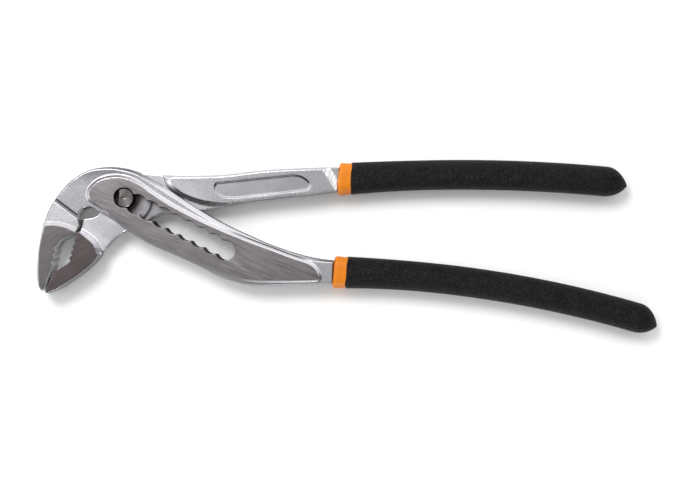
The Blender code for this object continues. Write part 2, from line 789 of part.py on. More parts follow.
HANDLE_TOP_SHARES = (
    (0.956, 1.000, 0.9),
    (0.865, 0.976, 0.9),
    (0.771, 0.952, 0.9),
    (0.679, 0.919, 0.9),
    (0.585, 0.855, 0.9),
    (0.469, 0.758, 0.9),
    (0.353, 0.726, 0.9),
    (0.237, 0.726, 0.9),
    (0.178, 0.738, 0.9),
)
PANEL_SHARES = (
    ((0.427, 0.487), (0.785, 0.747)),
    ((0.785, 0.747), (0.825, 0.700), (0.858, 0.540), (0.869, 0.380), (0.855, 0.242)),
    ((0.855, 0.242), (0.516, -0.016)),
    ((0.516, -0.016), (0.462, 0.020), (0.428, 0.180), (0.418, 0.350), (0.427, 0.487)),
)


def tongue_outline():
    """The plate at cavity level: from inside the jaw, round the hub and on under the handle."""
    lower = smooth(placed(head, NECK_UNDERSIDE_SHARES))
    handle = smooth(placed(upper_handle, TONGUE_UNDERSIDE_SHARES))
    top = smooth(placed(upper_handle, TONGUE_TOP_SHARES))
    hub = arc(Vector((0, 0)), HUB_RADIUS, HUB_START_ANGLE, HUB_NECK_ANGLE)
    inside = smooth(placed(head, NECK_INSIDE_SHARES))
    contact = smooth(placed(head, NECK_CONTACT_SHARES))
    return joined(lower, handle, top, hub, inside, contact)


def right_jaw_outline():
    back = smooth(placed(head, RIGHT_JAW_BACK_SHARES, JAW_RIM_WIDTH))
    rim = smooth(placed(head, RIGHT_RIM_SHARES, JAW_RIM_WIDTH))
    return joined(back, rim)


def right_mouth_outline():
    """All that is cut away beside the right jaw: contact face, coarse teeth, nose, fine teeth."""
    low = flat(head, RIGHT_COARSE_LOW_SHARE)
    high = flat(head, RIGHT_COARSE_HIGH_SHARE)
    coarse = toothed(high, low, COARSE_TOOTH_PITCH, COARSE_TOOTH_DEPTH)
    fine_tip = flat(head, RIGHT_FINE_TIP_SHARE)
    fine_root = flat(head, RIGHT_FINE_ROOT_SHARE)
    fine = toothed(fine_root, fine_tip, FINE_TOOTH_PITCH, FINE_TOOTH_DEPTH)
    contact = smooth(placed(head, NECK_CONTACT_SHARES))
    far = placed(head, RIGHT_FAR_SHARES)
    return joined(contact, coarse, fine, [flat(head, RIGHT_TIP_BELOW_SHARE)], far[:0:-1])


def handle_outline(line):
    """The thick part of the upper handle, which ends in a slope in front of the collar."""
    step = smooth(placed(upper_handle, HANDLE_STEP_SHARES + HANDLE_UNDERSIDE_SHARES, HANDLE_RIM_WIDTH)
                  + [collar_point(line, -1)])
    top = smooth([collar_point(line, 1)] + placed(upper_handle, HANDLE_TOP_SHARES, HANDLE_RIM_WIDTH))
    return joined(step, top)


def collar_point(line, side):
    spot = collar_edge(line, side)
    return Vector((spot.x, spot.y, HANDLE_RIM_WIDTH / 2))


def panel_outline():
    runs = [smooth(placed(upper_handle, run, PANEL_CORNER_WIDTH)) for run in PANEL_SHARES]
    return joined(*runs)


def sunk_panel(name):
    """The sunk field in the handle's upper face, with sloped walls."""
    mouth = panel_outline()
    floor = offset(mouth, edge_widths(mouth))
    above = offset(mouth, [-PANEL_CORNER_WIDTH] * len(mouth))
    rings = [level(floor, HANDLE_HALF - PANEL_DEPTH), level(above, HANDLE_HALF + PANEL_DEPTH)]
    return skin(name, rings, True)


def end_slope(name, line, side):
    """Cuts the thick handle down to the tang's thickness along a slope in front of the collar."""
    along = line.along(0)
    across = Vector((-along.y, along.x))
    outer = HALF_THICKNESS + OVERRUN
    drop = HANDLE_HALF - TANG_HALF
    rings = []
    for way in (-1, 1):
        edge = line.start + across * (way * COLLAR_WIDTH) - along * (CORE_MOUTH_GAP + way * COLLAR_WIDTH / 2)
        foot = edge - along * COAT_GAP
        crest = foot - along * TANG_SLOPE_LENGTH
        beyond = edge + along * COLLAR_WIDTH * 2
        lift = drop + OVERRUN
        high = crest - along * (TANG_SLOPE_LENGTH * OVERRUN / drop)
        ring = [(high, TANG_HALF + lift), (foot, TANG_HALF), (beyond, TANG_HALF), (beyond, outer)]
        rings.append([Vector((spot.x, spot.y, side * z)) for spot, z in ring])
    return skin(name, rings, True)


def circle(radius, z, steps):
    angles = [2 * pi * i / steps for i in range(steps)]
    return [Vector((radius * cos(angle), radius * sin(angle), z)) for angle in angles]


def hub_boss():
    """The raised disc that runs against the cheeks, with a sloped edge down to the tongue."""
    face = arc(Vector((0, 0)), HUB_RADIUS - HUB_EDGE_WIDTH, 0, 2 * pi, HUB_EDGE_WIDTH)
    return raised_pad("hub_boss", joined(face), HUB_HALF, TONGUE_HALF)


def build_through_lever(line):
    lever = prism("through_lever", tongue_outline(), -TONGUE_HALF, TONGUE_HALF, hidden=False)
    cut(lever, hub_boss(), "UNION")
    rim_height = JAW_PAD_HALF - TONGUE_HALF
    jaw = chamfered_plate("right_jaw", right_jaw_outline(), JAW_PAD_HALF, rim_height)
    cut(lever, jaw, "UNION")
    handle = chamfered_plate("upper_handle", handle_outline(line), HANDLE_HALF, HANDLE_RIM_HEIGHT)
    cut(lever, handle, "UNION")
    for side, where in ((1, "above"), (-1, "below")):
        cut(lever, end_slope("end_slope_" + where, line, side))
    cut(lever, core_bar("upper_core", line), "UNION")
    tall = HALF_THICKNESS + OVERRUN
    cut(lever, prism("right_mouth", right_mouth_outline(), -tall, tall))
    cut(lever, sunk_panel("panel"))
    bore = PIN_RADIUS + PIN_BORE_CLEARANCE
    cut(lever, skin("pin_bore", [circle(bore, z, ROUND_STEPS) for z in (-tall, tall)], True))
    return lever


# Pivot pin

def build_pivot_pin():
    """A round pin as long as the joint is thick, with one flat on each stretch inside a cheek."""
    end = PIN_RADIUS - PIN_EDGE_BREAK
    wall = HALF_THICKNESS - PIN_EDGE_BREAK
    profile = ((end, -HALF_THICKNESS), (PIN_RADIUS, -wall), (PIN_RADIUS, wall), (end, HALF_THICKNESS))
    pin = skin("pivot_pin", [circle(radius, z, ROUND_STEPS) for radius, z in profile])
    normal = Vector((cos(PIN_FLAT_ANGLE), sin(PIN_FLAT_ANGLE)))
    side = Vector((-normal.y, normal.x)) * POCKET_RADIUS
    near = normal * PIN_FLAT_DISTANCE
    far = normal * POCKET_RADIUS
    corners = [near - side, far - side, far + side, near + side]
    outline = joined([Vector((spot.x, spot.y, 0)) for spot in corners])
    tall = HALF_THICKNESS + OVERRUN
    cut(pin, prism("flat_above", outline, HUB_HALF, tall))
    cut(pin, prism("flat_below", outline, -tall, -HUB_HALF))
    wide = PIN_DIMPLE_RADIUS * 2 - PIN_DIMPLE_FLAT_RADIUS
    cone = ((PIN_DIMPLE_FLAT_RADIUS, HALF_THICKNESS - PIN_DIMPLE_DEPTH),
            (wide, HALF_THICKNESS + PIN_DIMPLE_DEPTH))
    cut(pin, skin("centre_mark", [circle(radius, z, CURVE_STEPS) for radius, z in cone], True))
    return pin


# Materials and assembly

def material(name, colour, metallic, roughness):
    made = bpy.data.materials.new(name)
    made.use_nodes = True
    shader = made.node_tree.nodes["Principled BSDF"]
    shader.inputs["Base Color"].default_value = (*colour, 1)
    shader.inputs["Metallic"].default_value = metallic
    shader.inputs["Roughness"].default_value = roughness
    return made


def dress(piece, surface):
    piece.data.materials.append(surface)
    piece.data.shade_smooth()
    piece.data.set_sharp_from_angle(angle=SHARP_ANGLE)


def pivot_at(name, parent):
    empty = bpy.data.objects.new(name, None)
    bpy.context.scene.collection.objects.link(empty)
    empty.parent = parent
    return empty


def main():
    for leftover in list(bpy.data.objects):
        bpy.data.objects.remove(leftover, do_unlink=True)

    lower_line = Centreline(LOWER_GRIP_START, LOWER_GRIP_HEADING, LOWER_GRIP_BEND_RADIUS,
                            LOWER_GRIP_LENGTH, LOWER_DIP_SLANT)
    upper_line = Centreline(UPPER_GRIP_START, UPPER_GRIP_HEADING, UPPER_GRIP_BEND_RADIUS,
                            UPPER_GRIP_LENGTH, UPPER_DIP_SLANT)

    box_lever = build_box_lever(lower_line)
    through_lever = build_through_lever(upper_line)
    pivot_pin = build_pivot_pin()
    lower_liner, lower_grip = grip_coats("box_lever_grip", lower_line)
    upper_liner, upper_grip = grip_coats("through_lever_grip", upper_line)

    # The middle plane of the joint, the slip of the pin along the slot, and the swing about the pin
    joint_plane = pivot_at("joint_plane", None)
    joint_plane.location.z = HALF_THICKNESS
    slip_carriage = pivot_at("slip_carriage", joint_plane)
    handle_pivot = pivot_at("handle_pivot", slip_carriage)
    for piece in (box_lever, lower_liner, lower_grip):
        piece.parent = joint_plane
    pivot_pin.parent = slip_carriage
    for piece in (through_lever, upper_liner, upper_grip):
        piece.parent = handle_pivot

    lever_chrome = material("lever_satin_chrome", (0.52, 0.51, 0.53), 1.0, 0.35)
    pin_steel = material("pin_turned_steel", (0.46, 0.44, 0.41), 1.0, 0.3)
    orange_coat = material("orange_dip_coat", (0.85, 0.27, 0.03), 0.0, 0.45)
    black_coat = material("black_dip_coat", (0.013, 0.012, 0.013), 0.0, 0.6)
    for piece in (box_lever, through_lever):
        dress(piece, lever_chrome)
    dress(pivot_pin, pin_steel)
    for piece in (lower_liner, upper_liner):
        dress(piece, orange_coat)
    for piece in (lower_grip, upper_grip):
        dress(piece, black_coat)


main()
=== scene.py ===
# The looks of adjustable slip joint pliers, lying closed on a pale floor, seen from straight above.
# Metres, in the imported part's own frame: the pivot axis is X = Y = 0 and the floor is Z = 0.

from math import ceil, cos, pi, radians, sin, tan

import bmesh
import bpy
import numpy as np
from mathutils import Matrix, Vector


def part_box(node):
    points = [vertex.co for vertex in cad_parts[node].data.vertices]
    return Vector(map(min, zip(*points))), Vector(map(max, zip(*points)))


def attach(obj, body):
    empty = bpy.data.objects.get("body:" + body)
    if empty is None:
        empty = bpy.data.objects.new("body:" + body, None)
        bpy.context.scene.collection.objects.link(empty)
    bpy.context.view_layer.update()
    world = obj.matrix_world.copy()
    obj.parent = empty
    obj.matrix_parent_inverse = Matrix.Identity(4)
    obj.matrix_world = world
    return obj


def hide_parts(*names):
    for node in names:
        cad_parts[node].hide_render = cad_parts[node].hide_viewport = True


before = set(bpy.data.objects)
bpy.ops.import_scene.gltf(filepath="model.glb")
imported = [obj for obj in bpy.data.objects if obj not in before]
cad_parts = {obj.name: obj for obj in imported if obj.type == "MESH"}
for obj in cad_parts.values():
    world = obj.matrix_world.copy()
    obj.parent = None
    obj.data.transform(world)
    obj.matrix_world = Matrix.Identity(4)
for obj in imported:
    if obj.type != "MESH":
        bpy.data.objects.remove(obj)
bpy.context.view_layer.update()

MM = 0.001

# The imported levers: tops above the floor, then levels above the middle of the thickness
OVERALL_THICKNESS = 11.0 * MM
JAW_PAD_TOP = 10.8 * MM
FIELD_TOP = 9.45 * MM
HALF_THICKNESS = OVERALL_THICKNESS / 2
JAW_PAD_LEVEL = JAW_PAD_TOP - HALF_THICKNESS
FIELD_LEVEL = FIELD_TOP - HALF_THICKNESS
SHOULDER_LEVEL = 4.7 * MM
RIM_FOOT = 4.72 * MM
STEP_LEVEL = 4.38 * MM
HUB_LEVEL = 2.35 * MM
TONGUE_LEVEL = 1.85 * MM
LEVEL_TOLERANCE = 0.02 * MM

# How the steel is meshed and its edges are eased
WELD_DISTANCE = 0.002 * MM
FLAT_ANGLE = radians(0.4)
SHARP_ANGLE = radians(24.0)
GRAIN_OF_FORM = 0.13 * MM
EASING_ROUNDS = 14
EASING_STEP = 0.5
CRISP_SHARE = 0.1
TOOTH_SHARE = 0.03
CRISP_BAND = 0.03 * MM
KEPT_FACES_SHARE = 0.12
BAR_CUT_INSET = 6.0 * MM
TEETH_TOP = -14 * MM
TEETH_LEFT = -34 * MM
TEETH_RIGHT = -17 * MM

# The dipped coats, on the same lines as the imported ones
LOWER_GRIP_START = Vector((83.944, -29.874)) * MM
LOWER_GRIP_HEADING = radians(-0.8)
LOWER_GRIP_BEND_RADIUS = 460.0 * MM
LOWER_GRIP_LENGTH = 133.0 * MM
LOWER_DIP_SLANT = radians(3.5)
UPPER_GRIP_START = Vector((85.9, 7.55)) * MM
UPPER_GRIP_HEADING = radians(4.5)
UPPER_GRIP_BEND_RADIUS = 631.0 * MM
UPPER_GRIP_LENGTH = 116.8 * MM
UPPER_DIP_SLANT = radians(7.0)
GRIP_WIDTH = 12.0 * MM
COLLAR_WIDTH = 13.2 * MM
COLLAR_FLARE_LENGTH = 38.0 * MM
GRIP_CORNER_RADIUS = 4.6 * MM
GRIP_TIP_LENGTH = 8.9 * MM
GRIP_TIP_POINT = 1.65
GRIP_TIP_DROOP = 1.0 * MM
BLACK_WALL = 1.0 * MM
ORANGE_WALL = 0.8 * MM
COAT_GAP = 0.2 * MM
COLLAR_LENGTH = 5.1 * MM
DIP_SLANT_FADE_LENGTH = 16.0 * MM
SKIN_INSET = 0.02 * MM
ORANGE_BORE = BLACK_WALL + COAT_GAP + ORANGE_WALL
ORANGE_STEP = 0.3 * MM
BLACK_LIP_WALL = 0.5 * MM
LIP_STEPS = 5
LIP_FADE = 1.8 * MM
LIP_WAVE = 0.2 * MM
LIP_SWELLS = 2
LIP_SWELL_START = 0.7
LIP_RIPPLES = 5
LIP_RIPPLE_SHARE = 0.5
LIP_RIPPLE_START = 40
LIP_DEPTH = 5.0 * MM
TIP_END_SHARE = 0.02
CORNER_STEPS = 14
STATION_SPACING = 1.6 * MM
TIP_STATIONS = 22

# Where the finishes of the steel, and the light and shade painted on it, start and end
HUB_FACE_RADIUS = 10.5 * MM
HUB_RADIUS = 11.3 * MM
NECK_LEVEL_RADIUS = 18.0 * MM
NECK_ACROSS = -9.0 * MM
STEP_START = 13.0 * MM
STEP_END = 47.0 * MM
STEP_LEAN = 0.2
# Painted highlights and shade on the handle's step: dark below the first Y, light above the second.
STEP_PAINTED_SHADE_BELOW = 3.0 * MM
STEP_PAINTED_HIGHLIGHT_ABOVE = 5.5 * MM
# Where the painted highlight in front of the upper collar starts, and how far its faces lean.
PAINTED_HIGHLIGHT_START = 76.0 * MM
PAINTED_HIGHLIGHT_LEAN = 0.15
# Their bands by height, of painted highlights and of painted shade.
STEP_PAINTED_HIGHLIGHT_BANDS = ((0.0, 0.9), (0.18, 0.85), (0.35, 0.4), (0.62, 0.45), (0.8, 0.95), (1.0, 0.7))
STEP_PAINTED_SHADE_BANDS = ((0.0, 0.3), (0.25, 0.2), (0.45, 0.5), (0.6, 0.12), (0.8, 0.3), (1.0, 0.06))
# Painted shadow on the hub: full inside the first radius, gone past the second.
HUB_SHADOW_RADIUS = 5.4 * MM
HUB_SHADOW_END_RADIUS = 8.6 * MM
FLAT_LIMIT = 0.97
STEEP_LIMIT = 0.5
WALL_LIMIT = 0.35
WIDE_WALL_LIMIT = 0.62
OUTLINE_LEAN = 0.15
MOUTH_RIGHT = -11.0 * MM
MOUTH_TOP = -4.5 * MM
GAP_TOP = -8.6 * MM
GAP_BOTTOM = -13.9 * MM
FIELD_LEFT = 35.0 * MM
FIELD_RIGHT = 75.5 * MM
FIELD_MIDDLE = -0.8 * MM
FIELD_RISE = 0.093
FIELD_REACH = 4.2 * MM
FIELD_LEAN = 0.08
CHAMFER_STEEP = 0.72
CHAMFER_FLAT = 0.93
ARC_RIGHT = 8.0 * MM
GROOVE_START = Vector((-28.08, -0.46)) * MM
GROOVE_END = Vector((-17.73, -8.23)) * MM
GROOVE_REACH = 0.8 * MM
RIM_RIGHT = -16.0 * MM
UNDER_RIM_START = -6.0 * MM
RIM_LEAN = 0.04
SLOT_ANGLE = radians(-27.35)
SLOT_HALF_WIDTH = 4.8 * MM
SLOT_START = -4.8 * MM
SLOT_END = 50.7 * MM
SLOT_EDGE_LIMIT = 0.985
# Painted shade over the shoulder: it starts at the first Y and is full at the second.
SHOULDER_SHADE_START_Y = 4.0 * MM
SHOULDER_SHADE_FULL_Y = 10.8 * MM
# Painted sheen on the upper handle near its step, and painted shade beyond it.
HANDLE_SHEEN_END = 16.5 * MM
HANDLE_SHADE_FULL = 22.0 * MM


# Levers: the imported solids, finely meshed and eased like forgings

def without_bar(shape, limit):
    """Cuts off the bar that runs on inside the coats, just behind the collar."""
    everything = shape.verts[:] + shape.edges[:] + shape.faces[:]
    bmesh.ops.bisect_plane(shape, geom=everything, plane_co=(limit, 0, 0), plane_no=(1, 0, 0),
                           clear_outer=True)
    bmesh.ops.holes_fill(shape, edges=shape.edges, sides=0)


def linked_object(name, data):
    made = bpy.data.objects.new(name, data)
    bpy.context.scene.collection.objects.link(made)
    return made


def with_modifier(mesh, kind, **settings):
    """The mesh as one modifier leaves it."""
    holder = linked_object("holder", mesh)
    modifier = holder.modifiers.new("only", kind)
    for key, value in settings.items():
        setattr(modifier, key, value)
    seen = holder.evaluated_get(bpy.context.evaluated_depsgraph_get())
    made = bpy.data.meshes.new_from_object(seen)
    bpy.data.objects.remove(holder)
    return made


def points_of(mesh):
    flat = np.empty(len(mesh.vertices) * 3, np.float32)
    mesh.vertices.foreach_get("co", flat)
    return flat.reshape(-1, 3).astype(np.float64)


def off_middle(points):
    """How far each point lies above or below the middle of the thickness."""
    return np.abs(points[:, 2] - HALF_THICKNESS)


def near_teeth(points):
    """Between the two rows of teeth, from the recess down to the tips."""
    beside = (points[:, 0] > TEETH_LEFT) & (points[:, 0] < TEETH_RIGHT)
    return beside & (points[:, 1] < TEETH_TOP)


def softness(points, ground_level):
    """How far each point is eased: fully on the forging, little on ground faces and teeth."""
    share = np.ones(len(points))
    share[off_middle(points) > ground_level - CRISP_BAND] = CRISP_SHARE
    share[near_teeth(points)] = TOOTH_SHARE
    return share


def eased(mesh, ground_level, moved):
    """Draws each point towards its neighbours by its own share, so that edges and corners round off."""
    points = points_of(mesh)
    if moved is not None:
        moved(points)
    ends = np.empty(len(mesh.edges) * 2, np.int32)
    mesh.edges.foreach_get("vertices", ends)
    ends = ends.reshape(-1, 2)
    count = len(points)
    degree = np.bincount(ends.ravel(), minlength=count)[:, None]
    step = EASING_STEP * softness(points, ground_level)[:, None]
    for rounds in range(EASING_ROUNDS):
        total = np.empty_like(points)
        for axis in range(3):
            total[:, axis] = np.bincount(ends[:, 0], points[ends[:, 1], axis], count)
            total[:, axis] += np.bincount(ends[:, 1], points[ends[:, 0], axis], count)
        points += step * (total / degree - points)
    mesh.vertices.foreach_set("co", points.astype(np.float32).ravel())


def face_values(mesh, name, size):
    flat = np.empty(len(mesh.polygons) * size, np.float32)
    mesh.polygons.foreach_get(name, flat)
    return flat.reshape(-1, size)


def sort_faces(mesh, rules):
    """Gives each face the material of the last rule that holds for its centre and normal."""
    centres = face_values(mesh, "center", 3)
    normals = face_values(mesh, "normal", 3)
    numbers = np.zeros(len(centres), np.int32)
    for number, rule in enumerate(rules):
        numbers[rule(centres, normals)] = number + 1
    mesh.polygons.foreach_set("material_index", numbers)


def flatness(normals):
    """1 on a level face, 0 on an upright wall."""
    return np.abs(normals[:, 2])


def lies_at(level):
    """Faces that lie flat at a level above or below the middle."""
    def rule(centres, normals):
        near = np.abs(off_middle(centres) - level) < LEVEL_TOLERANCE
        return near & (flatness(normals) > FLAT_LIMIT)
    return rule


def in_slot(points):
    """Inside the slot's outline, seen from above."""
    along = points[:, 0] * cos(SLOT_ANGLE) + points[:, 1] * sin(SLOT_ANGLE)
    across = points[:, 1] * cos(SLOT_ANGLE) - points[:, 0] * sin(SLOT_ANGLE)
    return (np.abs(across) < SLOT_HALF_WIDTH) & (along > SLOT_START) & (along < SLOT_END)


def slot_walls(centres, normals):
    sunk = off_middle(centres) < HALF_THICKNESS - LEVEL_TOLERANCE
    return in_slot(centres) & (sunk | (flatness(normals) < SLOT_EDGE_LIMIT))


def side_walls(limit):
    """Faces steeper than a limit."""
    def rule(centres, normals):
        return flatness(normals) < limit
    return rule


def left_outline(centres, normals):
    """The eased outer edge on the far side of the head, from the arc down to the jaw's tip."""
    height = off_middle(centres)
    outer = (normals[:, 0] < -OUTLINE_LEAN) & (flatness(normals) < FLAT_LIMIT)
    return outer & (height < SHOULDER_LEVEL - LEVEL_TOLERANCE) & (centres[:, 0] < RIM_RIGHT)


def mouth_walls(centres, normals):
    """The left jaw's teeth and notch, on the side that the right jaw closes against."""
    within = (centres[:, 0] < MOUTH_RIGHT) & (centres[:, 1] < MOUTH_TOP)
    return within & (normals[:, 0] > 0) & (flatness(normals) < STEEP_LIMIT)


def gap_walls(centres, normals):
    """The left jaw's wall in the narrow gap between its notch and its teeth."""
    within = (centres[:, 1] < GAP_TOP) & (centres[:, 1] > GAP_BOTTOM)
    return within & mouth_walls(centres, normals)


def left_pad_rim(centres, normals):
    height = off_middle(centres)
    between = (height > RIM_FOOT) & (height < JAW_PAD_LEVEL - LEVEL_TOLERANCE)
    upward = (normals[:, 1] > 0) & (flatness(normals) > STEEP_LIMIT)
    return between & upward & (centres[:, 0] < RIM_RIGHT)


def under_rim(centres, normals):
    """The eased edge along the underside of the beam."""
    sunk = off_middle(centres) < HALF_THICKNESS - LEVEL_TOLERANCE
    sloped = (flatness(normals) > WALL_LIMIT) & (normals[:, 1] < -RIM_LEAN)
    return sunk & sloped & (centres[:, 0] > UNDER_RIM_START) & ~in_slot(centres)


def handle_rim(way):
    """The eased edge along the lower or the upper side of the upper handle."""
    def rule(centres, normals):
        sloped = (flatness(normals) > WALL_LIMIT) & (flatness(normals) < FLAT_LIMIT)
        start = STEP_END if way < 0 else STEP_START
        return sloped & (normals[:, 1] * way > STEP_LEAN) & (centres[:, 0] > start)
    return rule


def arc_chamfer(centres, normals):
    """The chamfer over the top of the head."""
    height = off_middle(centres)
    sloped = (flatness(normals) > CHAMFER_STEEP) & (flatness(normals) < CHAMFER_FLAT)
    top = (centres[:, 1] > 0) & (centres[:, 0] < ARC_RIGHT) & (normals[:, 1] > 0)
    return sloped & top & (height < SHOULDER_LEVEL - LEVEL_TOLERANCE)


def beyond_groove(centres):
    """How far each face lies past the groove's line, towards the jaw's tip."""
    run = (GROOVE_END - GROOVE_START).normalized()
    return (centres[:, 0] - GROOVE_START.x) * run.y - (centres[:, 1] - GROOVE_START.y) * run.x


def jaw_band(centres, normals):
    """The plain band between the groove and the ground jaw."""
    height = off_middle(centres)
    level = np.abs(height - SHOULDER_LEVEL) < LEVEL_TOLERANCE
    return level & (beyond_groove(centres) > GROOVE_REACH) & (centres[:, 0] < RIM_RIGHT)


def field_rim(way):
    """The edge of the sunk field on the upper handle, on its lower or its upper side."""
    def rule(centres, normals):
        height = off_middle(centres)
        sunk = (height > FIELD_LEVEL + LEVEL_TOLERANCE) & (height < STEP_LEVEL)
        within = (centres[:, 0] > FIELD_LEFT) & (centres[:, 0] < FIELD_RIGHT)
        middle = FIELD_MIDDLE + FIELD_RISE * centres[:, 0]
        near = np.abs(centres[:, 1] - middle) < FIELD_REACH
        side = (middle - centres[:, 1]) * way > 0
        return sunk & within & near & side & (normals[:, 1] * way > FIELD_LEAN)
    return rule


def in_groove(centres, normals):
    """Inside the V groove across the shoulder."""
    offset = beyond_groove(centres)
    sunk = off_middle(centres) < SHOULDER_LEVEL - LEVEL_TOLERANCE
    across = (np.abs(offset) < GROOVE_REACH) & (centres[:, 0] < GROOVE_END.x)
    return sunk & across & (flatness(normals) > STEEP_LIMIT)


def neck(centres, normals):
    """The stretch between the beam and the right jaw."""
    return (centres[:, 1] < MOUTH_TOP) & (flatness(normals) > STEEP_LIMIT)


# Hub and tongue faces inside the slot, which get the painted shadow.
def hub_painted_shadow(centres, normals):
    inside = off_middle(centres) < HUB_LEVEL + LEVEL_TOLERANCE
    return inside & in_slot(centres)


def painted_highlight_slope(centres, normals):
    """The slope in front of the upper collar."""
    rising = (normals[:, 0] > PAINTED_HIGHLIGHT_LEAN) & (flatness(normals) > STEEP_LIMIT)
    height = off_middle(centres)
    return rising & (centres[:, 0] > PAINTED_HIGHLIGHT_START) & (height < STEP_LEVEL)


def handle_step_painted_reflections(centres, normals):
    """The slope from the tongue up to the upper handle's face."""
    height = off_middle(centres)
    rising = (height > HUB_LEVEL + LEVEL_TOLERANCE) & (height < STEP_LEVEL)
    steep = (flatness(normals) < FLAT_LIMIT) & (normals[:, 1] < STEP_LEAN)
    return rising & steep & (centres[:, 0] > STEP_START) & (centres[:, 0] < STEP_END)


def without_neck_step(points):
    """Levels the neck with the hub's disc where it comes out below the beam."""
    across = points[:, 1] * cos(SLOT_ANGLE) - points[:, 0] * sin(SLOT_ANGLE)
    reach = np.hypot(points[:, 0], points[:, 1])
    top = np.interp(reach, (HUB_FACE_RADIUS, HUB_RADIUS), (HUB_LEVEL, TONGUE_LEVEL))
    wanted = np.interp(reach, (HUB_RADIUS, NECK_LEVEL_RADIUS), (HUB_LEVEL, TONGUE_LEVEL))
    height = points[:, 2] - HALF_THICKNESS
    neck = (across < NECK_ACROSS) & (np.abs(height) < HUB_LEVEL + LEVEL_TOLERANCE)
    points[neck, 2] += height[neck] * (wanted / top - 1)[neck]


def forged(node, body, collar_node, ground_level, plain, finishes_and_painted_light, moved=None):
    """A finely meshed copy of a lever, eased like a forging and still crisp where it was ground."""
    shape = bmesh.new()
    shape.from_mesh(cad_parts[node].data)
    bmesh.ops.remove_doubles(shape, verts=shape.verts, dist=WELD_DISTANCE)
    without_bar(shape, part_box(collar_node)[0].x + BAR_CUT_INSET)
    mesh = bpy.data.meshes.new(node + "_raw")
    shape.to_mesh(mesh)
    shape.free()
    mesh = with_modifier(mesh, "REMESH", mode="VOXEL", voxel_size=GRAIN_OF_FORM, adaptivity=0)
    eased(mesh, ground_level, moved)
    mesh = with_modifier(mesh, "DECIMATE", ratio=KEPT_FACES_SHARE)
    mesh.name = node + "_dressed"
    mesh.materials.clear()
    mesh.materials.append(plain)
    for material, rule in finishes_and_painted_light:
        mesh.materials.append(material)
    sort_faces(mesh, [rule for material, rule in finishes_and_painted_light])
    mesh.shade_smooth()
    piece = linked_object(node + "_dressed", mesh)
    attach(piece, body)
    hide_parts(node)


# Marks of the finishes and of the painted light: waves to the metre, how they are turned, and how deep
# they are

CHROME_CLOUD_WAVES = 60.0
CHROME_GRAIN_WAVES = 2600.0
CHROME_GRAIN_DEPTH = 0.003 * MM
CHROME_BRUSH_WAVES = (120, 1500, 1500)
CHROME_BRUSH_TURN = radians(-24)
CHROME_BRUSH_DEPTH = 0.008 * MM
GROUND_CLOUD_WAVES = 55.0
SCRATCH_WAVES = (100, 2600, 2600)
SCRATCH_DEPTH = 0.02 * MM
CROSS_SCRATCH_WAVES = (220, 3000, 3000)
CROSS_SCRATCH_TURN = radians(17)
CROSS_SCRATCH_DEPTH = 0.012 * MM
PIN_SPOKE_WAVES = 2.6
PIN_RING_WAVES = 6000.0
PIN_RING_DEPTH = 0.02 * MM
PIN_PAINTED_SHEEN_START = radians(200.0)
HUB_STAIN_WAVES = 420.0
HUB_RING_WAVES = 2600.0
HUB_RING_DEPTH = 0.012 * MM
STREAK_WAVES = (300, 1500, 1500)
STREAK_TURN = radians(70)
STREAK_DEPTH = 0.03 * MM
STEP_LINE_WAVES = (160, 900, 900)
STEP_LINE_TURN = radians(-32)
STEP_LINE_DEPTH = 0.03 * MM
COAT_CLOUD_WAVES = 160.0
COAT_SWELL_WAVES = 140.0
COAT_SWELL_DEPTH = 0.12 * MM
ORANGE_GRAIN_WAVES = 2500.0
ORANGE_GRAIN_DEPTH = 0.01 * MM
BLACK_GRAIN_WAVES = 1400.0
BLACK_GRAIN_DEPTH = 0.8 * MM

# Tones, as linear colours and shares
# The pin's end: from its own dark tone to the light of its painted sheen.
PIN_DARK = (0.075, 0.069, 0.067)
PIN_LIGHT = (0.26, 0.25, 0.246)
# The hub: from its painted shadow to its light tone.
HUB_DARK = (0.045, 0.036, 0.036)
HUB_LIGHT = (0.33, 0.32, 0.34)
BAND_BLUENESS = 1.02
STEP_WANDER = 0.12
HUB_STAIN = 0.25
SMOOTHEST_SHARE = 0.85
ROUGHEST_SHARE = 1.2
FLOOR_COLOUR = (0.93, 0.935, 0.93, 1)
FLOOR_ROUGHNESS = 0.9
FLOOR_LIFT = 0.08
WHITE = (1, 1, 1, 1)


# Materials

def new_material(name, metal=0.0):
    made = bpy.data.materials.new(name)
    made.use_nodes = True
    shader = made.node_tree.nodes["Principled BSDF"]
    shader.inputs["Metallic"].default_value = metal
    return made, made.node_tree, shader


def node(tree, kind, **settings):
    made = tree.nodes.new(kind)
    for key, value in settings.items():
        setattr(made, key, value)
    return made


def place(tree, stretch=(1, 1, 1), turn=0.0):
    """Coordinates that move with the piece, turned about Z and stretched."""
    coordinates = node(tree, "ShaderNodeTexCoord")
    turned = node(tree, "ShaderNodeMapping")
    turned.inputs["Rotation"].default_value = (0, 0, -turn)
    scaled = node(tree, "ShaderNodeMapping")
    scaled.inputs["Scale"].default_value = stretch
    tree.links.new(coordinates.outputs["Object"], turned.inputs["Vector"])
    tree.links.new(turned.outputs["Vector"], scaled.inputs["Vector"])
    return scaled.outputs["Vector"]


def noise(tree, vector, waves=1.0, detail=3.0, rough=0.55):
    made = node(tree, "ShaderNodeTexNoise")
    made.inputs["Scale"].default_value = waves
    made.inputs["Detail"].default_value = detail
    made.inputs["Roughness"].default_value = rough
    tree.links.new(vector, made.inputs["Vector"])
    return made.outputs["Fac"]


def spread(tree, value, low, high, start=0.3, end=0.7):
    made = node(tree, "ShaderNodeMapRange")
    made.inputs["From Min"].default_value = start
    made.inputs["From Max"].default_value = end
    made.inputs["To Min"].default_value = low
    made.inputs["To Max"].default_value = high
    tree.links.new(value, made.inputs["Value"])
    return made.outputs["Result"]


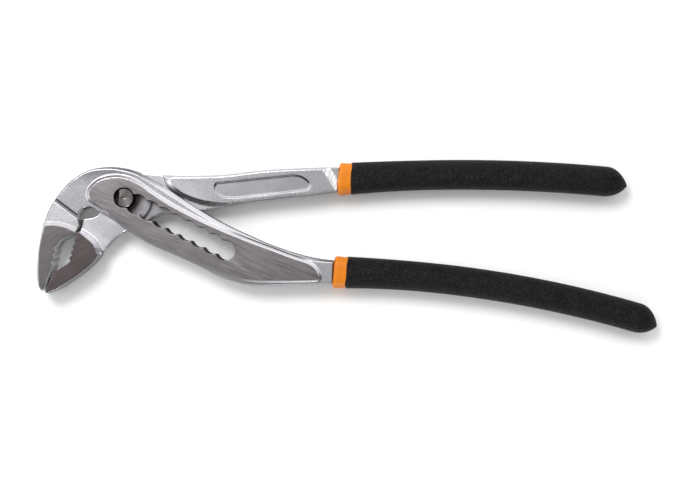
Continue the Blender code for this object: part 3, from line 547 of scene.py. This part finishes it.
def varied(tree, value, roughness, least=SMOOTHEST_SHARE, most=ROUGHEST_SHARE):
    """A roughness that wanders about its middle with a value."""
    return spread(tree, value, roughness * least, roughness * most)


def mixer(tree, factor):
    """A colour mix, with its two colour sockets and its result."""
    made = node(tree, "ShaderNodeMix", data_type="RGBA")
    for socket in made.inputs:
        if socket.type == "VALUE" and socket.name == "Factor" and socket.enabled:
            tree.links.new(factor, socket)
    colours = [socket for socket in made.inputs if socket.type == "RGBA"]
    result = [socket for socket in made.outputs if socket.type == "RGBA"][0]
    return colours, result


def mixed(tree, factor, first, second):
    colours, result = mixer(tree, factor)
    colours[0].default_value = (*first, 1)
    colours[1].default_value = (*second, 1)
    return result


def mixed_of(tree, factor, first, second):
    colours, result = mixer(tree, factor)
    tree.links.new(first, colours[0])
    tree.links.new(second, colours[1])
    return result


def summed(tree, first, second):
    made = node(tree, "ShaderNodeMath", operation="ADD")
    tree.links.new(first, made.inputs[0])
    tree.links.new(second, made.inputs[1])
    return made.outputs[0]


def bumped(tree, height, depth, strength=1.0, under=None):
    made = node(tree, "ShaderNodeBump")
    made.inputs["Strength"].default_value = strength
    made.inputs["Distance"].default_value = depth
    tree.links.new(height, made.inputs["Height"])
    if under is not None:
        tree.links.new(under, made.inputs["Normal"])
    return made.outputs["Normal"]


def finish(tree, shader, colour, roughness, normal):
    tree.links.new(colour, shader.inputs["Base Color"])
    tree.links.new(roughness, shader.inputs["Roughness"])
    tree.links.new(normal, shader.inputs["Normal"])


def satin_chrome(name, low, high, roughness, metal=1.0, painted_shade=None):
    """Blasted and plated forging: an even grain and slow clouds of tone; when asked, painted shade or
    sheen as a second tone along one direction.
    """
    made, tree, shader = new_material(name, metal)
    clouds = noise(tree, place(tree), CHROME_CLOUD_WAVES, detail=4.0)
    grain = noise(tree, place(tree), CHROME_GRAIN_WAVES, detail=2.0)
    slow = spread(tree, clouds, low=0.1, high=0.65)
    fine = spread(tree, grain, low=0.0, high=0.25)
    tone = summed(tree, slow, fine)
    colour = mixed(tree, tone, low, high)
    # Painted shade or sheen: a second tone takes over along one direction across the piece.
    if painted_shade is not None:
        way, start, end, far_low, far_high = painted_shade
        reach = node(tree, "ShaderNodeVectorMath", operation="DOT_PRODUCT")
        reach.inputs[1].default_value = way
        tree.links.new(place(tree), reach.inputs[0])
        far = spread(tree, reach.outputs["Value"], 0.0, 1.0, start, end)
        colour = mixed_of(tree, far, colour, mixed(tree, tone, far_low, far_high))
    brushed = noise(tree, place(tree, CHROME_BRUSH_WAVES, CHROME_BRUSH_TURN))
    first = bumped(tree, grain, CHROME_GRAIN_DEPTH, strength=0.3)
    normal = bumped(tree, brushed, CHROME_BRUSH_DEPTH, strength=0.4, under=first)
    finish(tree, shader, colour, varied(tree, grain, roughness), normal)
    return made


def ground_steel(name, low, high, turn, roughness=0.33):
    """A face ground flat after forging: long fine scratches over a darker metal."""
    made, tree, shader = new_material(name, metal=1.0)
    lines = noise(tree, place(tree, SCRATCH_WAVES, turn), detail=4.0, rough=0.65)
    cross = noise(tree, place(tree, CROSS_SCRATCH_WAVES, turn + CROSS_SCRATCH_TURN), rough=0.6)
    clouds = noise(tree, place(tree), GROUND_CLOUD_WAVES)
    fine = spread(tree, lines, low=0.05, high=0.6)
    slow = spread(tree, clouds, low=0.0, high=0.35)
    colour = mixed(tree, summed(tree, fine, slow), low, high)
    first = bumped(tree, lines, SCRATCH_DEPTH, strength=0.5)
    normal = bumped(tree, cross, CROSS_SCRATCH_DEPTH, strength=0.4, under=first)
    finish(tree, shader, colour, varied(tree, lines, roughness, least=0.8, most=1.3), normal)
    return made


def from_axis(tree):
    """The distance from the pivot's axis, and the angle round it."""
    coordinates = node(tree, "ShaderNodeTexCoord")
    flat = node(tree, "ShaderNodeVectorMath", operation="MULTIPLY")
    flat.inputs[1].default_value = (1, 1, 0)
    tree.links.new(coordinates.outputs["Object"], flat.inputs[0])
    radius = node(tree, "ShaderNodeVectorMath", operation="LENGTH")
    tree.links.new(flat.outputs[0], radius.inputs[0])
    parts = node(tree, "ShaderNodeSeparateXYZ")
    tree.links.new(coordinates.outputs["Object"], parts.inputs[0])
    angle = node(tree, "ShaderNodeMath", operation="ARCTAN2")
    tree.links.new(parts.outputs["Y"], angle.inputs[0])
    tree.links.new(parts.outputs["X"], angle.inputs[1])
    return radius.outputs["Value"], angle.outputs[0]


def wave_of(tree, angle, times, start):
    """A sine of some times the angle, from a starting angle on."""
    turned = node(tree, "ShaderNodeMath", operation="MULTIPLY_ADD")
    turned.inputs[1].default_value = times
    turned.inputs[2].default_value = start
    tree.links.new(angle, turned.inputs[0])
    made = node(tree, "ShaderNodeMath", operation="SINE")
    tree.links.new(turned.outputs[0], made.inputs[0])
    return made.outputs[0]


def along_x(tree, value):
    made = node(tree, "ShaderNodeCombineXYZ")
    tree.links.new(value, made.inputs["X"])
    return made.outputs[0]


def turned_steel_with_painted_sheen(name):
    """A turned end: rings round the axis, and a painted sheen that fans out from the middle."""
    made, tree, shader = new_material(name, metal=1.0)
    radius, angle = from_axis(tree)
    spokes = noise(tree, along_x(tree, angle), PIN_SPOKE_WAVES, detail=2.0)
    rings = noise(tree, along_x(tree, radius), PIN_RING_WAVES, detail=2.0)
    # Painted sheen: a bright fan twice round the axis, in the colour.
    sheen = wave_of(tree, angle, times=2.0, start=PIN_PAINTED_SHEEN_START)
    painted_sheen_fan = spread(tree, sheen, low=0.1, high=0.6, start=-0.2, end=1.0)
    tone = summed(tree, painted_sheen_fan, spread(tree, spokes, low=0.0, high=0.4))
    finish(tree, shader, mixed(tree, tone, PIN_DARK, PIN_LIGHT),
           spread(tree, rings, low=0.26, high=0.42),
           bumped(tree, rings, PIN_RING_DEPTH, strength=0.5))
    return made


def painted_shadow_steel(name):
    """The hub and tongue between the cheeks: a painted shadow darkens them near the pin and fades
    further out, over random stains.
    """
    made, tree, shader = new_material(name, metal=1.0)
    radius, angle = from_axis(tree)
    stain = spread(tree, noise(tree, place(tree), HUB_STAIN_WAVES), -HUB_STAIN, HUB_STAIN)
    # Painted shadow: dark near the pin, fading to the light tone further out.
    reach = spread(tree, radius, 0.0, 1.0, HUB_SHADOW_RADIUS, HUB_SHADOW_END_RADIUS)
    rings = noise(tree, along_x(tree, radius), HUB_RING_WAVES)
    finish(tree, shader, mixed(tree, summed(tree, reach, stain), HUB_DARK, HUB_LIGHT),
           spread(tree, rings, low=0.32, high=0.46),
           bumped(tree, rings, HUB_RING_DEPTH, strength=0.5))
    return made


def painted_highlight_streaks(name, low, high):
    """A painted highlight on a slope: short bright streaks across it."""
    made, tree, shader = new_material(name, metal=1.0)
    lines = noise(tree, place(tree, STREAK_WAVES, STREAK_TURN))
    tone = spread(tree, lines, low=0.0, high=1.0, start=0.35, end=0.6)
    finish(tree, shader, mixed(tree, tone, low, high),
           spread(tree, lines, low=0.42, high=0.30),
           bumped(tree, lines, STREAK_DEPTH, strength=0.6))
    return made


def bands(tree, value, stops):
    """Greys along a value, each with its place."""
    made = node(tree, "ShaderNodeValToRGB")
    ramp = made.color_ramp
    while len(ramp.elements) < len(stops):
        ramp.elements.new(0.5)
    for element, (spot, level) in zip(ramp.elements, stops):
        element.position = spot
        element.color = (level, level, level * BAND_BLUENESS, 1)
    tree.links.new(value, made.inputs["Fac"])
    return made.outputs["Color"]


def painted_reflection_bands(name):
    """The step of the upper handle: painted highlights in bands at its top end, painted shade and dark
    painted reflections in bands below.
    """
    made, tree, shader = new_material(name, metal=1.0)
    coordinates = node(tree, "ShaderNodeTexCoord")
    parts = node(tree, "ShaderNodeSeparateXYZ")
    tree.links.new(coordinates.outputs["Object"], parts.inputs[0])
    lines = noise(tree, place(tree, STEP_LINE_WAVES, STEP_LINE_TURN))
    foot = HALF_THICKNESS + HUB_LEVEL
    climb = spread(tree, parts.outputs["Z"], 0.0, 1.0, foot, HALF_THICKNESS + STEP_LEVEL)
    climb = summed(tree, climb, spread(tree, lines, -STEP_WANDER, STEP_WANDER))
    light = bands(tree, climb, STEP_PAINTED_HIGHLIGHT_BANDS)
    dark = bands(tree, climb, STEP_PAINTED_SHADE_BANDS)
    # Painted highlights above, painted shade below.
    up = spread(tree, parts.outputs["Y"], 0.0, 1.0, STEP_PAINTED_SHADE_BELOW, STEP_PAINTED_HIGHLIGHT_ABOVE)
    finish(tree, shader, mixed_of(tree, up, dark, light),
           spread(tree, lines, low=0.28, high=0.40),
           bumped(tree, lines, STEP_LINE_DEPTH, strength=0.6))
    return made


def dipped_coat(name, low, high, roughness, grain_waves, grain_depth, sheen, speck):
    """Dipped PVC: a fine skin over slow swells of the coat, with the light specks of its grain."""
    made, tree, shader = new_material(name)
    shader.inputs["Specular IOR Level"].default_value = sheen
    clouds = noise(tree, place(tree), COAT_CLOUD_WAVES)
    grain = noise(tree, place(tree), grain_waves, rough=0.6)
    swell = noise(tree, place(tree), COAT_SWELL_WAVES, detail=2.0)
    slow = spread(tree, clouds, low=0.0, high=1 - speck)
    specks = spread(tree, grain, low=0.0, high=speck, start=0.45, end=0.65)
    colour = mixed(tree, summed(tree, slow, specks), low, high)
    first = bumped(tree, swell, COAT_SWELL_DEPTH, strength=0.4)
    normal = bumped(tree, grain, grain_depth, strength=0.8, under=first)
    finish(tree, shader, colour, varied(tree, grain, roughness), normal)
    return made


# Painted shade: the shoulder's satin grows darker towards the top of the head.
SHOULDER_PAINTED_SHADE = satin_chrome("shoulder_painted_shade", low=(0.48, 0.47, 0.50), high=(0.68, 0.67, 0.70),
                        roughness=0.26,
                        painted_shade=((0, 1, 0), SHOULDER_SHADE_START_Y, SHOULDER_SHADE_FULL_Y,
                               (0.21, 0.205, 0.22), (0.33, 0.32, 0.345)))
# Painted sheen and shade: the upper handle is lighter near the step and darker further along.
HANDLE_PAINTED_SHEEN = satin_chrome("handle_painted_sheen", low=(0.60, 0.59, 0.62), high=(0.84, 0.83, 0.86),
                      roughness=0.26,
                      painted_shade=((0.6, 0.8, 0), HANDLE_SHEEN_END, HANDLE_SHADE_FULL,
                             (0.44, 0.43, 0.46), (0.66, 0.65, 0.68)))
# Painted light: a lighter copy of the satin on the band between the groove and the ground jaw.
BAND_PAINTED_LIGHT = satin_chrome("jaw_band_painted_light", low=(0.60, 0.59, 0.62), high=(0.80, 0.79, 0.82),
                    roughness=0.28)
# Painted light: a lighter copy of the satin on the neck, where the beam shades it.
NECK_PAINTED_LIGHT = satin_chrome("neck_painted_light", low=(0.66, 0.65, 0.68), high=(0.82, 0.81, 0.84),
                    roughness=0.3)
FIELD = satin_chrome("sunk_field_finish", low=(0.30, 0.29, 0.31), high=(0.50, 0.49, 0.51),
                     roughness=0.34)
# Painted shade: near black on the field's upper edge, which faces down.
FIELD_SHADE = satin_chrome("field_edge_painted_shade", low=(0.06, 0.058, 0.062),
                           high=(0.14, 0.136, 0.142), roughness=0.4)
SOFT_RIM = satin_chrome("soft_rim_finish", low=(0.46, 0.45, 0.47), high=(0.56, 0.55, 0.57),
                        roughness=0.68)
# Painted shade: a darker copy of the satin on eased edges that face down.
UNDER_RIM_PAINTED_SHADE = satin_chrome("under_rim_painted_shade", low=(0.28, 0.275, 0.29), high=(0.36, 0.355, 0.37),
                         roughness=0.5)
TOP_RIM = satin_chrome("top_rim_finish", low=(0.52, 0.51, 0.54), high=(0.64, 0.63, 0.66),
                       roughness=0.5)
# Painted highlight: bright streaks on the slope in front of the upper collar.
SLOPE_PAINTED_HIGHLIGHT = painted_highlight_streaks("painted_highlight_slope", low=(0.50, 0.50, 0.52), high=(0.95, 0.95, 0.96))
# Painted highlights and shade in bands on the step of the upper handle.
STEP_PAINTED_REFLECTIONS = painted_reflection_bands("handle_step_painted_reflections")
# Painted shade: near black on the walls and sunk faces inside the slot.
SLOT_WALL_PAINTED_SHADE = satin_chrome("slot_wall_painted_shade", low=(0.012, 0.011, 0.009),
                         high=(0.05, 0.046, 0.038), roughness=0.6)
# Painted shade: a dark outline along the far edge of the head.
OUTLINE_PAINTED_SHADE = satin_chrome("outline_painted_shade", low=(0.05, 0.048, 0.052), high=(0.09, 0.087, 0.092),
                       roughness=0.5)
# Painted shade: a darker copy of the satin on the steep walls.
SIDE_WALL_PAINTED_SHADE = satin_chrome("side_wall_painted_shade", low=(0.16, 0.155, 0.165),
                         high=(0.26, 0.255, 0.27), roughness=0.42)
# Painted light: near white and not metal, so the left jaw's wall in the mouth looks lit.
MOUTH_WALL_PAINTED_LIGHT = satin_chrome("mouth_wall_painted_light", low=(0.80, 0.82, 0.84),
                          high=(0.95, 0.96, 0.97), roughness=0.5, metal=0.0)
# Painted shade: darker walls in the narrow gap between the jaws.
GAP_WALL_PAINTED_SHADE = satin_chrome("gap_wall_painted_shade", low=(0.22, 0.21, 0.19), high=(0.34, 0.33, 0.30),
                        roughness=0.6, metal=0.0)
# Painted shade: a darker copy of the satin on the chamfer over the head.
ARC_CHAMFER_PAINTED_SHADE = satin_chrome("arc_chamfer_painted_shade", low=(0.26, 0.255, 0.27),
                           high=(0.36, 0.355, 0.37), roughness=0.3)
# Painted shade: a darker copy of the satin inside the groove.
GROOVE_PAINTED_SHADE = satin_chrome("groove_painted_shade", low=(0.20, 0.195, 0.205), high=(0.30, 0.29, 0.305),
                      roughness=0.6)
CHEEK_PAD = ground_steel("ground_cheek", low=(0.16, 0.143, 0.148), high=(0.34, 0.323, 0.332),
                         turn=radians(-22))
LEFT_PAD = ground_steel("ground_left_jaw", low=(0.135, 0.123, 0.125),
                        high=(0.24, 0.225, 0.228), turn=radians(24))
RIGHT_PAD = ground_steel("ground_right_jaw", low=(0.092, 0.077, 0.078),
                         high=(0.145, 0.123, 0.124), turn=radians(32))
# The pin's end: turned rings and a painted sheen.
PIN_STEEL = turned_steel_with_painted_sheen("turned_pin_end_painted_sheen")
# Painted shade: near black on the pin's shelf below its flat.
PIN_SHELF_PAINTED_SHADE = satin_chrome("pin_shelf_painted_shade", low=(0.05, 0.045, 0.04), high=(0.09, 0.08, 0.07),
                          roughness=0.45)
# Painted shadow of the pin on the hub and tongue.
HUB_PAINTED_SHADOW = painted_shadow_steel("hub_painted_shadow")
ORANGE = dipped_coat("orange_dip", low=(0.66, 0.190, 0.008), high=(0.735, 0.222, 0.011),
                     roughness=0.45, grain_waves=ORANGE_GRAIN_WAVES,
                     grain_depth=ORANGE_GRAIN_DEPTH, sheen=0.25, speck=0.5)
BLACK = dipped_coat("black_dip", low=(0.0005, 0.0004, 0.0005), high=(0.021, 0.019, 0.0205),
                    roughness=0.56, grain_waves=BLACK_GRAIN_WAVES,
                    grain_depth=BLACK_GRAIN_DEPTH, sheen=0.16, speck=0.85)


# The steel pieces

# Each lever's finishes, and the colours that paint light and shade on it, with the faces they go on.
BOX_LEVER_FINISHES_AND_PAINTED_LIGHT = (
    (SIDE_WALL_PAINTED_SHADE, side_walls(WIDE_WALL_LIMIT)),
    (CHEEK_PAD, lies_at(HALF_THICKNESS)),
    (LEFT_PAD, lies_at(JAW_PAD_LEVEL)),
    (SLOT_WALL_PAINTED_SHADE, slot_walls),
    (MOUTH_WALL_PAINTED_LIGHT, mouth_walls),
    (SOFT_RIM, left_pad_rim),
    (GROOVE_PAINTED_SHADE, in_groove),
    (ARC_CHAMFER_PAINTED_SHADE, arc_chamfer),
    (BAND_PAINTED_LIGHT, jaw_band),
    (UNDER_RIM_PAINTED_SHADE, under_rim),
    (OUTLINE_PAINTED_SHADE, left_outline),
    (GAP_WALL_PAINTED_SHADE, gap_walls),
)
THROUGH_LEVER_FINISHES_AND_PAINTED_LIGHT = (
    (SIDE_WALL_PAINTED_SHADE, side_walls(WALL_LIMIT)),
    (NECK_PAINTED_LIGHT, neck),
    (UNDER_RIM_PAINTED_SHADE, handle_rim(-1)),
    (TOP_RIM, handle_rim(1)),
    (RIGHT_PAD, lies_at(JAW_PAD_LEVEL)),
    (FIELD, lies_at(FIELD_LEVEL)),
    (HUB_PAINTED_SHADOW, hub_painted_shadow),
    (SLOPE_PAINTED_HIGHLIGHT, painted_highlight_slope),
    (STEP_PAINTED_REFLECTIONS, handle_step_painted_reflections),
    (FIELD_SHADE, field_rim(-1)),
    (SOFT_RIM, field_rim(1)),
)
forged("box_lever", "box_lever", "box_lever_grip_liner", HALF_THICKNESS, SHOULDER_PAINTED_SHADE,
       BOX_LEVER_FINISHES_AND_PAINTED_LIGHT)
forged("through_lever", "through_lever", "through_lever_grip_liner", JAW_PAD_LEVEL, HANDLE_PAINTED_SHEEN,
       THROUGH_LEVER_FINISHES_AND_PAINTED_LIGHT, without_neck_step)


def make_pin():
    """The pin as packed, its ends turned and the shelf below its flat painted dark as shade."""
    shape = bmesh.new()
    shape.from_mesh(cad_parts["pivot_pin"].data)
    bmesh.ops.remove_doubles(shape, verts=shape.verts, dist=WELD_DISTANCE)
    bmesh.ops.dissolve_limit(shape, angle_limit=FLAT_ANGLE, verts=shape.verts, edges=shape.edges)
    shape.faces.ensure_lookup_table()
    # Faces of the shelf inside the levers get the painted shade.
    for face in shape.faces:
        inside = abs(face.calc_center_median().z - HALF_THICKNESS) < HALF_THICKNESS - LEVEL_TOLERANCE
        face.material_index = 1 if inside and abs(face.normal.z) > FLAT_LIMIT else 0
    mesh = bpy.data.meshes.new("pivot_pin_dressed")
    shape.to_mesh(mesh)
    shape.free()
    mesh.materials.append(PIN_STEEL)
    mesh.materials.append(PIN_SHELF_PAINTED_SHADE)
    mesh.shade_smooth()
    mesh.set_sharp_from_angle(angle=SHARP_ANGLE)
    piece = linked_object("pivot_pin_dressed", mesh)
    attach(piece, "pivot_pin")
    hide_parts("pivot_pin")


make_pin()


# The coats

class Centreline:
    """An arc from the collar to the handle's end, bending down to the right."""

    def __init__(self, start, heading, radius, length, slant):
        self.start = start
        self.heading = heading
        self.radius = radius
        self.length = length
        self.slant = slant

    def along(self, distance):
        angle = self.heading - distance / self.radius
        return Vector((cos(angle), sin(angle)))

    def point(self, distance):
        angle = self.heading - distance / self.radius
        x = self.start.x + self.radius * (sin(self.heading) - sin(angle))
        y = self.start.y + self.radius * (cos(angle) - cos(self.heading))
        return Vector((x, y))


def half_width_at(distance):
    flare = max(0, 1 - max(0, distance) / COLLAR_FLARE_LENGTH)
    return (GRIP_WIDTH + (COLLAR_WIDTH - GRIP_WIDTH) * flare ** 2) / 2


def rounded_section(half_width, half_depth, corner):
    """Points round a rounded rectangle, close together at the corners."""
    corner = min(corner, half_width, half_depth)
    points = []
    for quarter in range(4):
        side_w = (1, -1, -1, 1)[quarter]
        side_d = (1, 1, -1, -1)[quarter]
        for step in range(CORNER_STEPS + 1):
            angle = (quarter + step / CORNER_STEPS) * pi / 2
            w = side_w * (half_width - corner) + corner * cos(angle)
            d = side_d * (half_depth - corner) + corner * sin(angle)
            points.append((w, d))
    return points


def coat_ring(line, distance, depth, factor=1.0, wave=0.0, droop=0.0):
    """One ring of the surface that lies depth under the outermost coat."""
    half_width = (half_width_at(distance) - depth) * factor
    half_depth = (HALF_THICKNESS - depth) * factor
    section = rounded_section(half_width, half_depth, (GRIP_CORNER_RADIUS - depth) * factor)
    spot = line.point(distance)
    along = line.along(distance)
    across = Vector((-along.y, along.x))
    fade = max(0, 1 - abs(distance) / DIP_SLANT_FADE_LENGTH)
    ring = []
    for i, (w, d) in enumerate(section):
        turn = 2 * pi * i / len(section)
        swell = sin(LIP_SWELLS * turn + LIP_SWELL_START)
        ripple = LIP_RIPPLE_SHARE * sin(LIP_RIPPLES * turn + line.heading * LIP_RIPPLE_START)
        forward = w * tan(line.slant) * fade + wave * (swell + ripple)
        edge = spot + across * (w - droop) + along * forward
        ring.append((edge.x, edge.y, d + HALF_THICKNESS))
    return ring


def loft(name, rings, material, body, replaced):
    """A closed smooth piece through the rings."""
    count = len(rings[0])
    points = [point for ring in rings for point in ring]
    faces = [tuple(range(count))[::-1], tuple(range(len(points) - count, len(points)))]
    for row in range(len(rings) - 1):
        for i in range(count):
            here = row * count
            after = (i + 1) % count
            faces.append((here + i, here + after, here + count + after, here + count + i))
    mesh = bpy.data.meshes.new(name)
    mesh.from_pydata(points, [], faces)
    shape = bmesh.new()
    shape.from_mesh(mesh)
    bmesh.ops.recalc_face_normals(shape, faces=shape.faces)
    shape.to_mesh(mesh)
    shape.free()
    mesh.materials.append(material)
    mesh.shade_smooth()
    piece = linked_object(name, mesh)
    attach(piece, body)
    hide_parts(replaced)


def lip_rings(line, start, wall):
    """Rings from inside the mouth, round a half-round lip as thick as the wall, to the full width."""
    radius = wall / 2
    rings = [coat_ring(line, start + LIP_DEPTH, SKIN_INSET + wall)]
    for step in range(LIP_STEPS * 2 + 1):
        angle = pi / 2 * step / LIP_STEPS
        distance = start + radius * (1 - sin(angle))
        rings.append(coat_ring(line, distance, SKIN_INSET + radius * (1 + cos(angle)), 1.0, LIP_WAVE))
    return rings


def black_rings(line):
    """From inside the lip, over it, along the grip and in to the point where the last drip ran off."""
    round_start = line.length - GRIP_TIP_LENGTH
    begin = COLLAR_LENGTH + BLACK_WALL
    rings = lip_rings(line, COLLAR_LENGTH, BLACK_LIP_WALL)
    count = ceil((round_start - begin) / STATION_SPACING)
    for i in range(count):
        rings.append(coat_ring(line, begin + (round_start - begin) * i / count, SKIN_INSET))
    for i in range(TIP_STATIONS):
        angle = pi / 2 * i / TIP_STATIONS
        factor = cos(angle) ** GRIP_TIP_POINT
        distance = round_start + GRIP_TIP_LENGTH * sin(angle)
        rings.append(coat_ring(line, distance, SKIN_INSET, factor, 0.0, GRIP_TIP_DROOP * (1 - factor)))
    rings.append(coat_ring(line, line.length - SKIN_INSET, SKIN_INSET, TIP_END_SHARE, 0.0,
                           GRIP_TIP_DROOP))
    return rings


def orange_rings(line):
    """From inside the mouth round the tang, over the lip and back under the black coat."""
    rings = lip_rings(line, 0.0, ORANGE_BORE)
    for distance, depth in ((LIP_FADE, SKIN_INSET), (COLLAR_LENGTH / 2, ORANGE_STEP / 2),
                            (COLLAR_LENGTH - COAT_GAP, ORANGE_STEP), (COLLAR_LENGTH, ORANGE_STEP)):
        rings.append(coat_ring(line, distance, depth, 1.0, LIP_WAVE))
    rings.append(coat_ring(line, COLLAR_LENGTH + COAT_GAP, BLACK_WALL + COAT_GAP, 1.0, LIP_WAVE))
    rings.append(coat_ring(line, COLLAR_LENGTH + LIP_DEPTH - COAT_GAP, BLACK_WALL + COAT_GAP))
    return rings


GRIP_LINES = (
    ("box_lever", Centreline(LOWER_GRIP_START, LOWER_GRIP_HEADING, LOWER_GRIP_BEND_RADIUS,
                             LOWER_GRIP_LENGTH, LOWER_DIP_SLANT)),
    ("through_lever", Centreline(UPPER_GRIP_START, UPPER_GRIP_HEADING, UPPER_GRIP_BEND_RADIUS,
                                 UPPER_GRIP_LENGTH, UPPER_DIP_SLANT)),
)
for lever, line in GRIP_LINES:
    liner = lever + "_grip_liner"
    loft(liner + "_dressed", orange_rings(line), ORANGE, lever, liner)
    loft(lever + "_grip_dressed", black_rings(line), BLACK, lever, lever + "_grip")


# Floor, light and camera

FLOOR_REACH = 3.0

# Soft light all round: direction, strength away from it and in it, and the cosines it rises between.
# The horizon's share dims the tent and the panels low down.
TENT = ((-0.5, 0.6, 0.45), 0.12, 0.56, -0.5, 0.9)
LEFT_PANEL = ((-0.82, -0.05, 0.56), 0.0, 1.3, 0.86, 0.96)
RIGHT_PANEL = ((0.45, 0.62, 0.6), 0.0, 1.1, 0.76, 0.96)
OVERHEAD = ((0, 0.1, 1), 0.0, 0.10, 0.8, 1.0)
HORIZON = ((0, 0, 1), 0.3, 1.0, 0.1, 0.5)

# Lamps, in metres and watts, and the place on the floor that they face
LIT_SPOT = (0.08, -0.02, 0)
KEY_SPOT = (-0.23, 0.46, 0.72)
KEY_SIZE = 0.44
KEY_WATTS = 5.6
STRIP_SPOT = (0.12, -0.62, 0.11)
STRIP_SIZE = 0.2
STRIP_WATTS = 1.6

# The camera, straight above the frame's middle but for a small shift that evens out the perspective
SENSOR_WIDTH = 36.0
FRAME_WIDTH = 277.1 * MM
FRAME_X = 88.6 * MM
FRAME_Y = -20.9 * MM
FRAME_LEVEL = 7.5 * MM
PERSPECTIVE_SHIFT = 0.55 * MM
CAMERA_DISTANCE = 490.0 * MM


def make_floor():
    corners = [(x * FLOOR_REACH, y * FLOOR_REACH, 0) for x, y in ((-1, -1), (1, -1), (1, 1), (-1, 1))]
    mesh = bpy.data.meshes.new("floor")
    mesh.from_pydata(corners, [], [(0, 1, 2, 3)])
    floor = linked_object("floor", mesh)
    made, tree, shader = new_material("pale_floor")
    shader.inputs["Base Color"].default_value = FLOOR_COLOUR
    shader.inputs["Roughness"].default_value = FLOOR_ROUGHNESS
    shader.inputs["Specular IOR Level"].default_value = 0.0
    path = node(tree, "ShaderNodeLightPath")
    seen = summed(tree, path.outputs["Is Camera Ray"], path.outputs["Is Glossy Ray"])
    seen = summed(tree, seen, path.outputs["Is Transmission Ray"])
    lift = node(tree, "ShaderNodeMath", operation="MULTIPLY")
    lift.inputs[1].default_value = FLOOR_LIFT
    tree.links.new(seen, lift.inputs[0])
    shader.inputs["Emission Color"].default_value = WHITE
    tree.links.new(lift.outputs[0], shader.inputs["Emission Strength"])
    mesh.materials.append(made)


def make_world():
    """A soft tent, brightest on the upper left, with bright panels on the left and the upper right."""
    world = bpy.data.worlds.new("soft_tent")
    bpy.context.scene.world = world
    world.use_nodes = True
    tree = world.node_tree
    background = tree.nodes["Background"]
    coordinates = node(tree, "ShaderNodeTexCoord")

    def glow(direction, far, near, start, end):
        made = node(tree, "ShaderNodeVectorMath", operation="DOT_PRODUCT")
        made.inputs[1].default_value = Vector(direction).normalized()
        tree.links.new(coordinates.outputs["Generated"], made.inputs[0])
        return spread(tree, made.outputs["Value"], far, near, start, end)

    panels = summed(tree, summed(tree, glow(*TENT), glow(*RIGHT_PANEL)), glow(*LEFT_PANEL))
    sky = node(tree, "ShaderNodeMath", operation="MULTIPLY")
    tree.links.new(panels, sky.inputs[0])
    tree.links.new(glow(*HORIZON), sky.inputs[1])
    total = summed(tree, sky.outputs[0], glow(*OVERHEAD))
    tree.links.new(total, background.inputs["Strength"])
    background.inputs["Color"].default_value = WHITE


def area_light(name, spot, size, power):
    light = bpy.data.lights.new(name, "AREA")
    light.shape = "DISK"
    light.size = size
    light.energy = power
    lamp = linked_object(name, light)
    lamp.location = spot
    aim = Vector(LIT_SPOT) - Vector(spot)
    lamp.rotation_euler = aim.to_track_quat("-Z", "Y").to_euler()


def make_camera():
    data = bpy.data.cameras.new("camera")
    data.sensor_width = SENSOR_WIDTH
    data.lens = SENSOR_WIDTH * CAMERA_DISTANCE / FRAME_WIDTH
    camera = linked_object("camera", data)
    camera.location = (FRAME_X - PERSPECTIVE_SHIFT, FRAME_Y, FRAME_LEVEL + CAMERA_DISTANCE)
    bpy.context.scene.camera = camera


make_floor()
make_world()
area_light("key", KEY_SPOT, KEY_SIZE, KEY_WATTS)
area_light("low_strip", STRIP_SPOT, STRIP_SIZE, STRIP_WATTS)
make_camera()
bpy.context.scene.view_settings.view_transform = "Standard"
